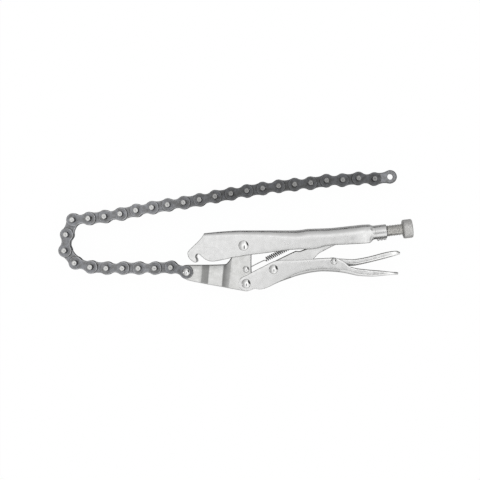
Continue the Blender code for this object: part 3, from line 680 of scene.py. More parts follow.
def eased(rows, spacing):
    """More rows between the given ones, each column following a smooth curve."""
    columns = list(zip(*rows))
    along = columns[0]
    bends = [slopes(along, column) for column in columns[1:]]
    made = []
    for i in range(len(rows) - 1):
        step = along[i + 1] - along[i]
        count = max(1, round(step / spacing))
        for k in range(count):
            t = k / count
            row = [along[i] + step * t]
            for column, bend in zip(columns[1:], bends):
                row.append(
                    (1 + 2 * t) * (1 - t) ** 2 * column[i] + t * (1 - t) ** 2 * step * bend[i]
                    + t * t * (3 - 2 * t) * column[i + 1] - t * t * (1 - t) * step * bend[i + 1]
                )
            made.append(row)
    return made + [list(rows[-1])]


def sized(shares, length, depth, half, bend):
    """Stations in metres: place along, web, lip, half width and bend."""
    return [(x * length, web * depth, lip * depth, w * half, b * bend) for x, web, lip, w, b in shares]


# %% The U section
BEND_STEPS = 8
WALL_STEPS = 4
STATION_SPACING = 0.0022


def u_half(web, lip, half, bend, sheet):
    """Half of the U, for the upper wall: (outer points, inner points), from the lip to the web."""
    way = 1 if lip > web else -1
    height = abs(lip - web)
    floor_depth = min(sheet, height / 3)
    rim = min(CUT_ROUND, height / 8)
    inner_bend = max(min(bend - sheet, height / 4), rim)
    bend = min(bend, height / 2)
    rows = []
    for depth, width, radius, turn in ((0, half, bend, 1), (floor_depth, half - sheet, inner_bend, -1)):
        rounded = [
            (lip - way * rim * (1 - sin(radians(a))), width - turn * rim * (1 - cos(radians(a))))
            for a in (90, 45, 0)
        ]
        corner = [
            (web + way * (depth + radius * (1 - sin(radians(a)))), width - radius * (1 - cos(radians(a))))
            for a in [90 * i / BEND_STEPS for i in range(BEND_STEPS + 1)]
        ]
        start, end = rounded[-1][0], corner[0][0]
        wall = [(start + (end - start) * i / (WALL_STEPS + 1), width) for i in range(1, WALL_STEPS + 1)]
        rows.append(rounded + wall + corner)
    return rows


def u_ring(web, lip, half, bend, sheet):
    """The whole U as a ring of (y, z) points: round the outside, and back along the inside."""
    outer, inner = u_half(web, lip, half, bend, sheet)
    outside = outer + [(y, -z) for y, z in reversed(outer)]
    inside = inner + [(y, -z) for y, z in reversed(inner)]
    return outside + list(reversed(inside))


RING_SIZE = 4 * (BEND_STEPS + WALL_STEPS + 4)
HALF_RING = RING_SIZE // 2
LIP_EDGES = {(start + k) % RING_SIZE for start in (0, HALF_RING) for k in range(-3, 2)}
print("points in a U's ring:", RING_SIZE)


# %% Sweep along the stations
def sweep(shape, rings, lips=(), bands=()):
    """Extrudes a ring of edges from one set of points to the next. Edges in lips turn into
    faces of the second finish, and bands gives a finish for the faces of each step. Returns
    the first and the last ring's edges."""
    ring, edges = draw_ring(shape, rings[0])
    first, count = edges, len(ring)
    for step, points in enumerate(rings[1:]):
        here = {vert.co.copy().freeze(): i for i, vert in enumerate(ring)}
        made = bmesh.ops.extrude_edge_only(shape, edges=edges)["geom"]
        order = {}
        for vert in only_verts(made):
            order[here[vert.co.copy().freeze()]] = vert
        ring = [order[i] for i in range(count)]
        for vert, point in zip(ring, points):
            vert.co = point
        edges = [shape.edges.get((ring[i], ring[(i + 1) % count])) for i in range(count)]
        for i in lips:
            edges[i].link_faces[0].material_index = 1
        for edge in edges if bands else ():
            edge.link_faces[0].material_index = bands[step]
    return first, edges


def loft(rings):
    """A bent sheet through rings, closed at both ends."""
    shape = bmesh.new()
    for edges in sweep(shape, rings, LIP_EDGES):
        bmesh.ops.contextual_create(shape, geom=edges)
    return shape


def channel(rows, sheet):
    """A bent sheet through the U of each row."""
    return loft([[(along, y, z) for y, z in u_ring(*section, sheet)] for along, *section in rows])


# %% Outline helper
def smooth_path(points, spacing, corner):
    """A closed curve through the points, with a corner where it turns by more than that angle."""
    spots = [Vector(point) for point in points]
    count = len(spots)
    made = []
    for i in range(count):
        before, start, end, after = (spots[(i + k) % count] for k in (-1, 0, 1, 2))
        chord = end - start
        pulls = []
        for a, b, c in ((before, start, end), (start, end, after)):
            is_corner = (b - a).angle(c - b, 0) > radians(corner)
            pulls.append(chord if is_corner else (c - a).normalized() * chord.length)
        steps = max(1, round(chord.length / spacing))
        for t in (k / steps for k in range(steps)):
            spot = start * (2 * t**3 - 3 * t**2 + 1) + end * (3 * t**2 - 2 * t**3)
            made.append(spot + pulls[0] * (t**3 - 2 * t**2 + t) + pulls[1] * (t**3 - t**2))
    return [tuple(spot) for spot in made]


# %% [markdown]
# ## Upper handle
# The upper handle is one long channel, open downward. Its nose is trimmed to two hooks, which the
# chain's pins drop into, and its rear end is squeezed round into a collar with a thread inside.
# So the U is lofted first, and its last rings turn from the U into a circle about the screw.

# %% Upper handle's stations
HANDLE_SHARES = (
    (-0.010, -0.145, -1.06, 1.0, 1.0),
    (0.063, -0.102, -1.06, 1.0, 0.7),
    (0.123, -0.060, -1.02, 1.0, 0.9),
    (0.193, -0.022, -0.93, 1.0, 1.1),
    (0.265, 0.000, -0.797, 1.0, 1.2),
    (0.393, 0.000, -0.695, 1.0, 1.4),
    (0.516, 0.000, -0.597, 1.0, 1.85),
    (0.563, 0.015, -0.582, 1.0, 1.9),
    (0.601, 0.049, -0.582, 1.0, 1.9),
    (0.649, 0.058, -0.548, 1.0, 1.9),
    (0.704, 0.071, -0.462, 1.0, 1.9),
    (0.819, 0.142, -0.425, 0.98, 1.95),
    (0.885, 0.182, -0.400, 0.90, 1.80),
    (0.908, 0.186, -0.385, 0.82, 1.65),
)
NOSE_SHARES = (
    (0.082, 0.50), (0.082, -0.09), (0.004, -0.64), (0.000, -0.72), (0.008, -0.86),
    (0.020, -0.93), (0.034, -0.985), (0.044, -0.985), (0.047, -0.93), (0.045, -0.88),
    (0.041, -0.83), (0.041, -0.78), (0.045, -0.745), (0.052, -0.730), (0.060, -0.742),
    (0.070, -0.80), (0.084, -0.875), (0.099, -0.925), (0.122, -0.955), (0.148, -0.940),
    (0.193, -0.883), (0.230, -0.830), (0.262, -0.800), (0.262, -1.30), (1.06, -1.30), (1.06, 0.50),
)
print("stations:", len(HANDLE_SHARES), "points round the nose:", len(NOSE_SHARES))

# %% Collar's and lug's sizes
COLLAR_RADIUS = 0.0069
COLLAR_LENGTH = 0.0130
COLLAR_BORE = 0.00585
COLLAR_CHAMFER = 0.0007
SEAM_DEGREES = 3
MORPH_STEPS = 6
GROOVE_PLACE = 0.0110
GROOVE_WIDTH = 0.0006
GROOVE_DEPTH = 0.00025
GROOVE_FLOOR = (0.7, 0.3)
CRIMP_PLACES = (0.0008, 0.0104)
CRIMP_RADII = (0.0009, 0.0015)
CRIMP_OUT = 0.0072
CRIMP_BUMPS = 3
CRIMP_STEPS = 36
CRIMP_SIDES = 24
LUG_SHARES = (0.563, -0.360)
LUG_SHEET = 0.0016
LUG_WIDTH = 0.0056
LUG_HOLE = 0.0024
print("collar in mm:", 2 * COLLAR_RADIUS * MM, "by", COLLAR_LENGTH * MM)

# %% Collar's rings
# Each ring's depth behind the collar's face, and how much it loses outside and inside.
COLLAR_RINGS = (
    (COLLAR_LENGTH, 0, 0), (GROOVE_PLACE + GROOVE_WIDTH, 0, 0),
    *((GROOVE_PLACE + GROOVE_WIDTH * share, GROOVE_DEPTH, 0) for share in GROOVE_FLOOR),
    (GROOVE_PLACE, 0, 0), (COLLAR_LENGTH / 2, 0, 0), (COLLAR_CHAMFER, 0, 0),
    (COLLAR_CHAMFER / 3, COLLAR_CHAMFER / 4, 0), (0, COLLAR_CHAMFER, COLLAR_CHAMFER / 3),
)
print("rings along the collar:", len(COLLAR_RINGS))


def collar_ring(height, outer, inner):
    """A ring in the order of the U's, wrapped about the screw, with a seam at its underside.

    The U's walls turn into the collar's lower half, and its bends into the upper one."""
    lower, upper = WALL_STEPS + 3, BEND_STEPS + 1
    turns = [(SEAM_DEGREES - 90) * (1 - i / lower) for i in range(lower)]
    turns += [90 * i / (upper - 0.5) for i in range(upper)]
    turns += [180 - turn for turn in reversed(turns)]
    points = []
    for radius, order in ((outer, turns), (inner, reversed(turns))):
        for turn in order:
            turn = radians(turn)
            points.append(SCREW_FRAME @ Vector((-radius * cos(turn), radius * sin(turn), height)))
    return points


# %% Upper handle's loft
handle_rows = sized(HANDLE_SHARES, HANDLE_LENGTH, HANDLE_DEPTH, HANDLE_HALF, HANDLE_BEND)
handle_rings = [
    [UPPER_FRAME @ Vector((along, y, z)) for y, z in u_ring(*section, HANDLE_SHEET)]
    for along, *section in eased(handle_rows, STATION_SPACING)
]
collar_rings = [
    collar_ring(-depth, COLLAR_RADIUS - outside, COLLAR_BORE + inside)
    for depth, outside, inside in COLLAR_RINGS
]
flat_ring = handle_rings[-1]
for step in range(1, MORPH_STEPS):
    t = step / MORPH_STEPS
    ease = t * t * (3 - 2 * t)
    handle_rings.append([
        Vector((a.x + (b.x - a.x) * t, a.y + (b.y - a.y) * ease, a.z + (b.z - a.z) * ease))
        for a, b in zip(flat_ring, collar_rings[0])
    ])
handle_rings += collar_rings
handle_mesh = to_mesh(loft(handle_rings), "pressed_upper_handle", [BRIGHT_PLATE, SHADED_EDGE])
print("upper handle's rings:", len(handle_rings))

# %% Upper handle's nose and hole
JUST_OUTSIDE = HANDLE_HALF + GAP / 10
nose = smooth_path(scaled(NOSE_SHARES, HANDLE_LENGTH, HANDLE_DEPTH), spacing=0.0008, corner=70)
nose_form = slab_mesh("nose_form", nose, JUST_OUTSIDE, SHADED_EDGE, UPPER_FRAME)
handle_mesh = cut(handle_mesh, soften(nose_form, CUT_ROUND, angle=80), "INTERSECT")
handle_mesh = drill(handle_mesh, [((0, 0), JAW_RIVET_RADIUS)], JAW_FRAME)
print("faces with the nose and the hole:", len(handle_mesh.polygons))

# %% [markdown]
# Two small things are added to that sheet. A lug under its web holds the jaw spring's hook, and a
# crimp under the collar closes the seam where the sheet's two edges meet. Both are simple shapes
# joined on with a Boolean union.

# %% Upper handle's lug and crimp
lug_spot = scaled([LUG_SHARES], HANDLE_LENGTH, HANDLE_DEPTH)[0]
lug_outline = arc(lug_spot, LUG_WIDTH / 2, 180, 360, 16)
lug_outline += [(lug_spot[0] + side * LUG_WIDTH / 2, -HANDLE_SHEET / 2) for side in (1, -1)]
lug_form = slab_mesh("spring_lug", lug_outline, LUG_SHEET / 2, BRIGHT_PLATE, UPPER_FRAME)
handle_mesh = cut(handle_mesh, lug_form, "UNION")
handle_mesh = drill(handle_mesh, [(lug_spot, LUG_HOLE / 2)], UPPER_FRAME, reach=LUG_SHEET, room=0)

crimp_start, crimp_end = CRIMP_PLACES
crimp_middle = sum(CRIMP_RADII) / 2
crimp_swell = (CRIMP_RADII[1] - CRIMP_RADII[0]) / 2
crimp_profile = [(0, -crimp_start)]
for i in range(CRIMP_STEPS + 1):
    share = i / CRIMP_STEPS
    bump = crimp_middle - crimp_swell * cos(2 * pi * CRIMP_BUMPS * share)
    crimp_profile.append((bump, -crimp_start - (crimp_end - crimp_start) * share))
crimp_profile.append((0, -crimp_end))
crimp_shape = bmesh.new()
add_turned(crimp_shape, crimp_profile, CRIMP_SIDES, (0, -CRIMP_OUT))
handle_mesh = cut(handle_mesh, to_mesh(crimp_shape, "crimp", [BRIGHT_PLATE], SCREW_FRAME), "UNION")
to_piece(handle_mesh, "upper_handle", ["upper_handle"], level=True)

# %% [markdown]
# ## Movable jaw
# The jaw is two mirrored stampings. Each lies against the handle's inner wall at the rear, and
# steps inward twice towards the chain. The outline is filled, cut across along every fold line,
# and given its height there; then the sheet gets its thickness and its tumbled edges.

# %% Jaw's sizes
JAW_REACH = 0.0632
JAW_DEPTH = 0.0453
JAW_SHEET = 0.0020
JAW_ROUND = 0.00095
JAW_NOSE_RADIUS = 0.0070
JAW_EYE_RADIUS = 0.0092
JAW_HEEL_RADIUS = 0.0077
JAW_TOP_SHARES = ((-0.296, -0.412), (-0.245, -0.365), (-0.200, -0.275), (-0.165, -0.14))
JAW_BACK_SHARES = ((0.120, -0.08), (0.120, -0.62), (0.150, -0.74))
JAW_BELLY_SHARES = ((-0.045, -0.980), (-0.324, -0.910), (-0.672, -0.825), (-0.88, -0.762))
ANCHOR_SHARES = (-0.899, -0.580)
HEEL_SHARES = (0.0405, -0.8283)
SPRING_PIN_SHARES = (0.037, -0.520)
STEP_SHARES = (-0.666, -0.535, -0.324, -0.192)
FOLD_LEAN = 0.0875
FOLD_ROUND_SHARE = 0.16
FOLD_ROUND_CUTS = 4
JAW_LEVELS = (0.00215, 0.004125, 0.0061)
ANCHOR, JAW_HEEL, SPRING_PIN = scaled(
    (ANCHOR_SHARES, HEEL_SHARES, SPRING_PIN_SHARES), JAW_REACH, JAW_DEPTH
)
FOLDS = [share * JAW_REACH for share in STEP_SHARES]
print("folds in mm from the pivot:", [round(fold * MM, 1) for fold in FOLDS])


# %% Jaw's outline and folds
def jaw_outline():
    """The jaw's edge, seen from above."""
    outline = arc(ANCHOR, JAW_NOSE_RADIUS, 255, 90, 22)
    outline += scaled(JAW_TOP_SHARES, JAW_REACH, JAW_DEPTH)
    outline += arc((0, 0), JAW_EYE_RADIUS, 170, 25, 20)
    outline += scaled(JAW_BACK_SHARES, JAW_REACH, JAW_DEPTH)
    outline += arc(JAW_HEEL, JAW_HEEL_RADIUS, 15, -105, 18)
    outline += scaled(JAW_BELLY_SHARES, JAW_REACH, JAW_DEPTH)
    return smooth_path(outline, spacing=0.0015, corner=35)


def fold_place(x, y):
    """How far along the jaw a point lies, measured square to the leaning folds."""
    return x - FOLD_LEAN * (y + JAW_DEPTH / 2)


def fold_share(t):
    """The drop along one fold, from 0 to 1, with a small round at each end."""
    r = FOLD_ROUND_SHARE
    t = min(max(t, 0.0), 1.0)
    if t < r:
        return t * t / (2 * r * (1 - r))
    if t > 1 - r:
        return 1 - (1 - t) ** 2 / (2 * r * (1 - r))
    return (t - r / 2) / (1 - r)


def jaw_level(x, y):
    """How high the jaw's upper face lies above its middle plane."""
    place = fold_place(x, y)
    first = fold_share((place - FOLDS[0]) / (FOLDS[1] - FOLDS[0]))
    second = fold_share((place - FOLDS[2]) / (FOLDS[3] - FOLDS[2]))
    low, middle, high = JAW_LEVELS
    return low + (middle - low) * first + (high - middle) * second


fold_cuts = [FOLD_ROUND_SHARE * i / FOLD_ROUND_CUTS for i in range(FOLD_ROUND_CUTS + 1)]
fold_cuts += [0.5] + [1 - share for share in reversed(fold_cuts)]
print("points round the jaw:", len(jaw_outline()), "cuts in a fold:", len(fold_cuts))

# %% [markdown]
# The jaw's plate is brushed across. Its two slopes are painted greyer than the flats as shade, and
# so is a strip along its top edge. The finish finds the slopes in the same way as the shape does:
# from how far along the jaw a point lies, measured square to the folds.

# %% Jaw's finish
SLOPE_SHADE_TONES = (
    (-0.0440, 1.0), (-0.0405, 0.70), (-0.0355, 0.63), (-0.0345, 0.46), (-0.0333, 1.0),
    (-0.0208, 1.0), (-0.0198, 0.45), (-0.0165, 0.66), (-0.0135, 0.88), (-0.0100, 1.0),
)
FLAT_LEVEL = 0.95
TOP_FACING = 0.15
TOP_SHADE = (-0.0250, -0.0188)
TOP_SHADE_LEVEL = 0.62
TOP_SHADE_END = (-0.0205, -0.0165)


def painted_slope_shade(tree, colour):
    """Painted shade for the jaw's two slopes and along its top edge."""
    spots = object_spots(tree)
    fold_way = (1.0, -FOLD_LEAN, 0.0)
    along = add_node(tree, "VectorMath", {0: spots, 1: fold_way}, operation="DOT_PRODUCT").outputs["Value"]
    shift = PIVOT.x - FOLD_LEAN * (PIVOT.y - JAW_DEPTH / 2)
    start, end = SLOPE_SHADE_TONES[0][0], SLOPE_SHADE_TONES[-1][0]
    share = ranged(tree, along, shift + start, shift + end)
    tone = add_ramp(tree, share, [((at - start) / (end - start), grey(level)) for at, level in SLOPE_SHADE_TONES])
    place = add_node(tree, "SeparateXYZ", {"Vector": spots}).outputs
    # Painted shade along the jaw's top edge, which ends where the top edge turns up to the pivot.
    painted_top_shade = ranged(tree, place["Y"], *(PIVOT.y + edge for edge in TOP_SHADE), 1.0, TOP_SHADE_LEVEL)
    past = ranged(tree, place["X"], *(PIVOT.x + edge for edge in TOP_SHADE_END))
    return multiplied(tree, colour, multiplied(tree, tone, worked_out(tree, "MAXIMUM", painted_top_shade, past)))


JAW_PLATE = metal(
    "brushed_jaw_plate_painted_shade", (0.72, 0.72, 0.705), (0.80, 0.80, 0.79), 0.005, (0.27, 0.37), 0.0005, 0.000004,
    BRUSHED_ACROSS, painted_slope_shade,
)
print("jaw finish nodes:", len(JAW_PLATE.node_tree.nodes))


# %% Jaw's halves
def jaw_half(name, side):
    """The stamping on one side of the middle plane: 1 is the upper one and -1 the lower one."""
    shape = bmesh.new()
    fill(shape, jaw_outline(), 0)
    for start, end in (FOLDS[:2], FOLDS[2:]):
        for share in fold_cuts:
            spot = (start + (end - start) * share, -JAW_DEPTH / 2, 0)
            cut_across(shape, spot, (1, -FOLD_LEAN, 0))
    for vert in shape.verts:
        vert.co.z = jaw_level(vert.co.x, vert.co.y)
    under = extrude_faces(shape, list(shape.faces))
    bmesh.ops.translate(shape, verts=under, vec=(0, 0, -JAW_SHEET))
    matrix = JAW_FRAME @ Matrix.Scale(side, 4, (0, 0, 1))
    plate = to_mesh(shape, name, [JAW_PLATE, SHADED_EDGE, SHADED_BEND_PLATE], matrix)
    plate = soften(plate, JAW_ROUND, angle=60, clamp=False)
    # Painted shade on the rounded rims: those along the top take the dark edge finish, and the rest take
    # the greyer bend plate.
    for face in plate.polygons:
        if abs(face.normal.z) < FLAT_LEVEL:
            face.material_index = 2 if face.normal.y < TOP_FACING else 1
    spots = [((0, 0), JAW_RIVET_RADIUS), (ANCHOR, PIN_RADIUS), (JAW_HEEL, HANDLE_RIVET_RADIUS),
             (SPRING_PIN, SPRING_RIVET_RADIUS)]
    return drill(plate, spots, JAW_FRAME)


for name, side in (("jaw_half_top", 1), ("jaw_half_bottom", -1)):
    to_piece(jaw_half(f"stamped_{name}", side), "jaw", [name], sharp=40, level=True)

# %% [markdown]
# ## Lower handle, toggle link and release lever
# These three are channels too. The lower handle opens upward, and its front end has no web: there
# it is two ears that hold the jaw between them. The toggle link hides inside both handles and
# pushes on the screw. The lever lies in the lower handle's mouth and pries the link loose.

# %% Their stations
LOWER_SHARES = (
    (-0.0487, -0.037, 0.037, 1.0, 0.1),
    (-0.0413, -0.123, 0.123, 1.0, 0.1),
    (-0.0253, -0.194, 0.194, 1.0, 0.1),
    (0.000, -0.228, 0.247, 1.0, 0.1),
    (0.030, -0.204, 0.320, 1.0, 0.1),
    (0.057, -0.152, 0.385, 1.0, 0.1),
    (0.087, -0.178, 0.457, 1.0, 0.1),
    (0.224, 0.058, 0.710, 1.0, 0.3),
    (0.294, 0.172, 0.713, 1.0, 0.7),
    (0.355, 0.259, 0.716, 1.0, 1.0),
    (0.440, 0.340, 0.744, 1.0, 1.0),
    (0.502, 0.367, 0.762, 1.0, 1.0),
    (0.565, 0.358, 0.772, 1.0, 1.0),
    (0.596, 0.346, 0.770, 1.0, 1.0),
    (0.618, 0.336, 0.728, 1.0, 1.0),
    (0.649, 0.315, 0.642, 1.0, 1.0),
    (0.684, 0.281, 0.510, 1.0, 0.9),
    (0.743, 0.228, 0.443, 1.0, 0.8),
    (0.831, 0.210, 0.400, 1.0, 0.7),
    (0.905, 0.238, 0.372, 1.0, 0.6),
    (0.963, 0.262, 0.340, 0.93, 0.5),
    (1.000, 0.262, 0.334, 0.72, 0.4),
)
LINK_SHARES = (
    (-0.080, 0.10, -0.10, 1.0, 0.2),
    (-0.056, 0.38, -0.38, 1.0, 1.0),
    (0.000, 0.53, -0.53, 1.0, 1.0),
    (0.115, 0.57, -0.66, 1.0, 1.0),
    (0.277, 0.59, -0.93, 1.0, 1.0),
    (0.350, 0.59, -1.00, 1.0, 1.0),
    (0.393, 0.43, -0.99, 1.0, 1.0),
    (0.462, 0.40, -0.83, 0.97, 1.0),
    (0.525, 0.41, -0.59, 0.93, 1.0),
    (0.621, 0.41, -0.39, 0.85, 1.0),
    (0.817, 0.41, -0.34, 0.75, 1.0),
)
LEVER_NOSE_SHARES = (
    (-1.00, -0.38, -0.17, 0.92, 0.3),
    (-0.645, -0.45, 0.05, 1.0, 0.4),
    (-0.268, -0.47, 0.28, 1.0, 0.6),
)
LEVER_SHARES = (
    (0.000, -0.47, 0.34, 1.0, 0.8),
    (0.081, -0.46, 0.24, 1.0, 1.3),
    (0.171, -0.44, 0.21, 1.0, 1.7),
    (0.287, -0.43, 0.17, 1.0, 1.8),
    (0.400, -0.31, 0.25, 1.0, 1.8),
    (0.516, -0.15, 0.39, 1.0, 1.8),
    (0.635, 0.03, 0.57, 1.0, 1.6),
    (0.752, 0.21, 0.77, 1.0, 1.4),
    (0.886, 0.44, 0.93, 0.97, 1.0),
    (0.959, 0.58, 0.97, 0.88, 0.6),
    (1.000, 0.66, 0.85, 0.70, 0.4),
)
LEVER_PIVOT_SHARES = (0.577, 0.673)
WEB_START_SHARE = 0.300
BELLY_SHARE = 0.421
LEVER_ROOM = 0.0081
EAR_EDGE = 0.9
BEND_LEVEL = 0.97
TAIL_SHARE = 0.62
TAIL_LEVEL = 0.40
TAIL_STEPS = 8
TAIL_ARC = 75
print("stations:", len(LOWER_SHARES), len(LINK_SHARES), len(LEVER_NOSE_SHARES) + len(LEVER_SHARES))

# %% Lower handle
lower_rows = sized(LOWER_SHARES, LOWER_LENGTH, LOWER_DEPTH, LOWER_HALF, LOWER_BEND)
lower_shape = channel(eased(lower_rows, STATION_SPACING), LOWER_SHEET)
lower_finishes = [PAINTED_LIGHT_PLATE, SHADED_EDGE, SHADED_BEND_PLATE]
lower_mesh = to_mesh(lower_shape, "pressed_lower_handle", lower_finishes, LOWER_FRAME)
ear_front, ear_rear = -2 * JAW_HEEL_RADIUS, WEB_START_SHARE * LOWER_LENGTH
ear_box = [
    (ear_front, -LOWER_DEPTH), (ear_rear, -LOWER_DEPTH), (ear_rear, LOWER_DEPTH), (ear_front, LOWER_DEPTH),
]
lower_mesh = cut(lower_mesh, slab_mesh("ear_space", ear_box, CHANNEL_HALF, SHADED_EDGE, LOWER_FRAME))
into_handle = LOWER_FRAME.inverted()
# Painted shade: the ears' edges take the dark edge finish and the bends take the darker bend plate. In the
# tail only the steepest faces do.
for face in lower_mesh.polygons:
    along, facing = (into_handle @ face.center).x, abs(face.normal.z)
    bend_level = BEND_LEVEL if along < TAIL_SHARE * LOWER_LENGTH else TAIL_LEVEL
    if along < ear_rear and facing < EAR_EDGE:
        face.material_index = 1
    elif facing < bend_level:
        face.material_index = 2
lever_pivot = scaled([LEVER_PIVOT_SHARES], LOWER_LENGTH, LOWER_DEPTH)[0]
lower_mesh = drill(lower_mesh, [
    ((0, 0), HANDLE_RIVET_RADIUS), ((elbow_along, elbow_up), HANDLE_RIVET_RADIUS),
    (lever_pivot, LEVER_RIVET_RADIUS),
], LOWER_FRAME)
to_piece(lower_mesh, "lower_handle", ["lower_handle"], level=True)

# %% Toggle link
link_rows = sized(LINK_SHARES, LINK_LENGTH, LINK_DEPTH, INSIDE_HALF, LINK_BEND)
tail_width, tail_bend = link_rows[-1][3], link_rows[-1][4]
link_rows = eased(link_rows, STATION_SPACING)
for i in range(TAIL_STEPS):
    turn = radians(90 - TAIL_ARC * i / (TAIL_STEPS - 1))
    half_depth = LINK_TAIL_RADIUS * sin(turn)
    link_rows.append((
        LINK_LENGTH + LINK_TAIL_RADIUS * cos(turn), half_depth, -half_depth, tail_width,
        min(tail_bend, half_depth / 2),
    ))
link_sheet = channel(link_rows, LINK_SHEET)
link_mesh = to_mesh(link_sheet, "pressed_toggle_link", [BRIGHT_PLATE, SHADED_EDGE], LINK_FRAME)
link_mesh = drill(link_mesh, [((0, 0), HANDLE_RIVET_RADIUS)], LINK_FRAME)
to_piece(link_mesh, "toggle_link", ["toggle_link"], level=True)

# %% Release lever
lever_nose = lever_pivot[0] - elbow_along - BELLY_SHARE * LINK_LENGTH - LEVER_ROOM
lever_rows = sized(LEVER_NOSE_SHARES, lever_nose, LEVER_DEPTH, INSIDE_HALF, LEVER_BEND)
lever_rows += sized(LEVER_SHARES, LEVER_LENGTH, LEVER_DEPTH, INSIDE_HALF, LEVER_BEND)
lever_sheet = channel(eased(lever_rows, STATION_SPACING), LEVER_SHEET)
lever_mesh = to_mesh(lever_sheet, "pressed_release_lever", [PAINTED_LIGHT_PLATE, SHADED_EDGE], LEVER_FRAME)
lever_mesh = drill(lever_mesh, [((0, 0), LEVER_RIVET_RADIUS)], LEVER_FRAME)
to_piece(lever_mesh, "release_lever", ["release_lever"], level=True)

# %% [markdown]
# ## Rivets
# Each rivet has a domed head at both ends. A dome is what catches the light, so its profile is a
# true arc over a low rim, spun in many steps.

# %% Rivet heads
RIVET_STEPS = 56
RIVET_RIM = 0.00035
RIVET_LIP = 0.0003
DOME_STEPS = 12
JAW_RIVET_HEAD = 0.0049
HANDLE_RIVET_HEAD = 0.0045
LEVER_RIVET_HEAD = 0.0033
SPRING_PIN_HEAD = 0.0032
ANCHOR_HEAD = 0.00385
SPRING_PIN_RISE = 0.0012
ANCHOR_RISE = 0.0016
PIN_PLATE_TOP = 0.00415
JAW_REAR_TOP = JAW_LEVELS[2]
SPRING_PIN_TOP = JAW_REAR_TOP + GAP + SPRING_PIN_RISE
ANCHOR_TOP = PIN_PLATE_TOP + GAP + ANCHOR_RISE
print("jaw rivet's head in mm:", 2 * JAW_RIVET_HEAD * MM)


def rivet_profile(shank, head, seat, top):
    """From the top dome down to the bottom one, the head's seat a gap off the sheet it holds."""
    base = seat + GAP
    rise = top - base - RIVET_RIM
    reach = head - RIVET_LIP
    curve = (reach**2 + rise**2) / (2 * rise)
    spans = [reach * i / DOME_STEPS for i in range(DOME_STEPS + 1)]
    dome = [(span, top - curve + sqrt(curve**2 - span**2)) for span in spans]
    upper = dome + [(head, base + RIVET_RIM / 3), (head, base), (shank, base)]
    return upper + [(radius, -height) for radius, height in reversed(upper)]


def make_rivet(node, body, spot, shank, head, seat, top=MIDDLE):
    """A rivet whose heads reach this far up and down, or as far as the bench that it lies on."""
    shape = bmesh.new()
    add_turned(shape, rivet_profile(shank, head, seat, top), RIVET_STEPS)
    mesh = to_mesh(shape, f"domed_{node}", [RIVET_STEEL, SHADED_EDGE], flat_frame(spot))
    # The rivet's rim takes the dark painted shade edge finish.
    for face in mesh.polygons:
        if (face.center - spot).xy.length > head - RIVET_LIP:
            face.material_index = 1
    to_piece(mesh, body, [node], sharp=50)


# %% Rivets
spring_pin_spot, anchor_spot = (JAW_FRAME @ Vector((*spot, 0)) for spot in (SPRING_PIN, ANCHOR))
for rivet in (
    ("jaw_pivot_rivet", "upper_handle", PIVOT, JAW_RIVET_RADIUS, JAW_RIVET_HEAD, HANDLE_HALF),
    ("jaw_handle_rivet", "jaw", HEEL, HANDLE_RIVET_RADIUS, HANDLE_RIVET_HEAD, LOWER_HALF),
    ("toggle_rivet", "lower_handle", ELBOW, HANDLE_RIVET_RADIUS, HANDLE_RIVET_HEAD, LOWER_HALF),
    ("lever_rivet", "lower_handle", LEVER_SPOT, LEVER_RIVET_RADIUS, LEVER_RIVET_HEAD, LOWER_HALF),
    ("spring_pin", "jaw", spring_pin_spot, SPRING_RIVET_RADIUS, SPRING_PIN_HEAD, JAW_REAR_TOP,
     SPRING_PIN_TOP),
    ("chain_anchor_rivet", "jaw", anchor_spot, PIN_RADIUS, ANCHOR_HEAD, PIN_PLATE_TOP, ANCHOR_TOP),
):
    make_rivet(*rivet)

# %% [markdown]
# ## Chain
# Outer links with two long pins and inner links follow each other. A plate's edge is two round
# lobes joined by hollow waists, all of them arcs that run smoothly into each other, so moving that
# edge inward only changes the arcs' radii. That gives the rings for the rounded rim, which is painted
# lighter than the plate as a highlight, while the edge below it is painted black as shade. Links of
# one kind share one shape; each is copied to its place, which its own pin's joint and the next one give.

# %% Chain's sizes
PITCH = 0.015875
LOBE = 0.00665
PLATE_SHEET = 0.0017
OUTER_WAIST = 0.0084
INNER_WAIST = 0.0103
INNER_PLATE = 0.00045
PIN_PLATE = INNER_PLATE + PLATE_SHEET + GAP
RIM_WIDTH = 0.0010
RIM_DROP = 0.0005
BOSS_RADIUS = 0.0047
PIN_CHAMFER = 0.0004
LAST_BEND = radians(10)
LINKS = 30
LOBE_STEPS = 28
WAIST_STEPS = 8
TURN_STEPS = 32
PLATE_FINISH, PIN_FINISH, SHADE_FINISH, HIGHLIGHT_FINISH = range(4)
print("chain length in mm:", round(LINKS * PITCH * MM, 1))


# %% Chain's plates
def plate_edge(waist, inward):
    """The plate's outline, moved inward, as points round both lobes and both waists."""
    hollow = (PITCH**2 / 4 + waist**2 / 4 - LOBE**2) / (2 * LOBE - waist)
    side = waist / 2 + hollow
    meet = degrees(atan2(side, PITCH / 2))
    points = arc((0, 0), LOBE - inward, meet, 360 - meet, LOBE_STEPS)[:-1]
    points += arc((PITCH / 2, -side), hollow + inward, 180 - meet, meet, WAIST_STEPS)[:-1]
    points += arc((PITCH, 0), LOBE - inward, meet - 180, 180 - meet, LOBE_STEPS)[:-1]
    points += arc((PITCH / 2, side), hollow + inward, -meet, meet - 180, WAIST_STEPS)[:-1]
    return points


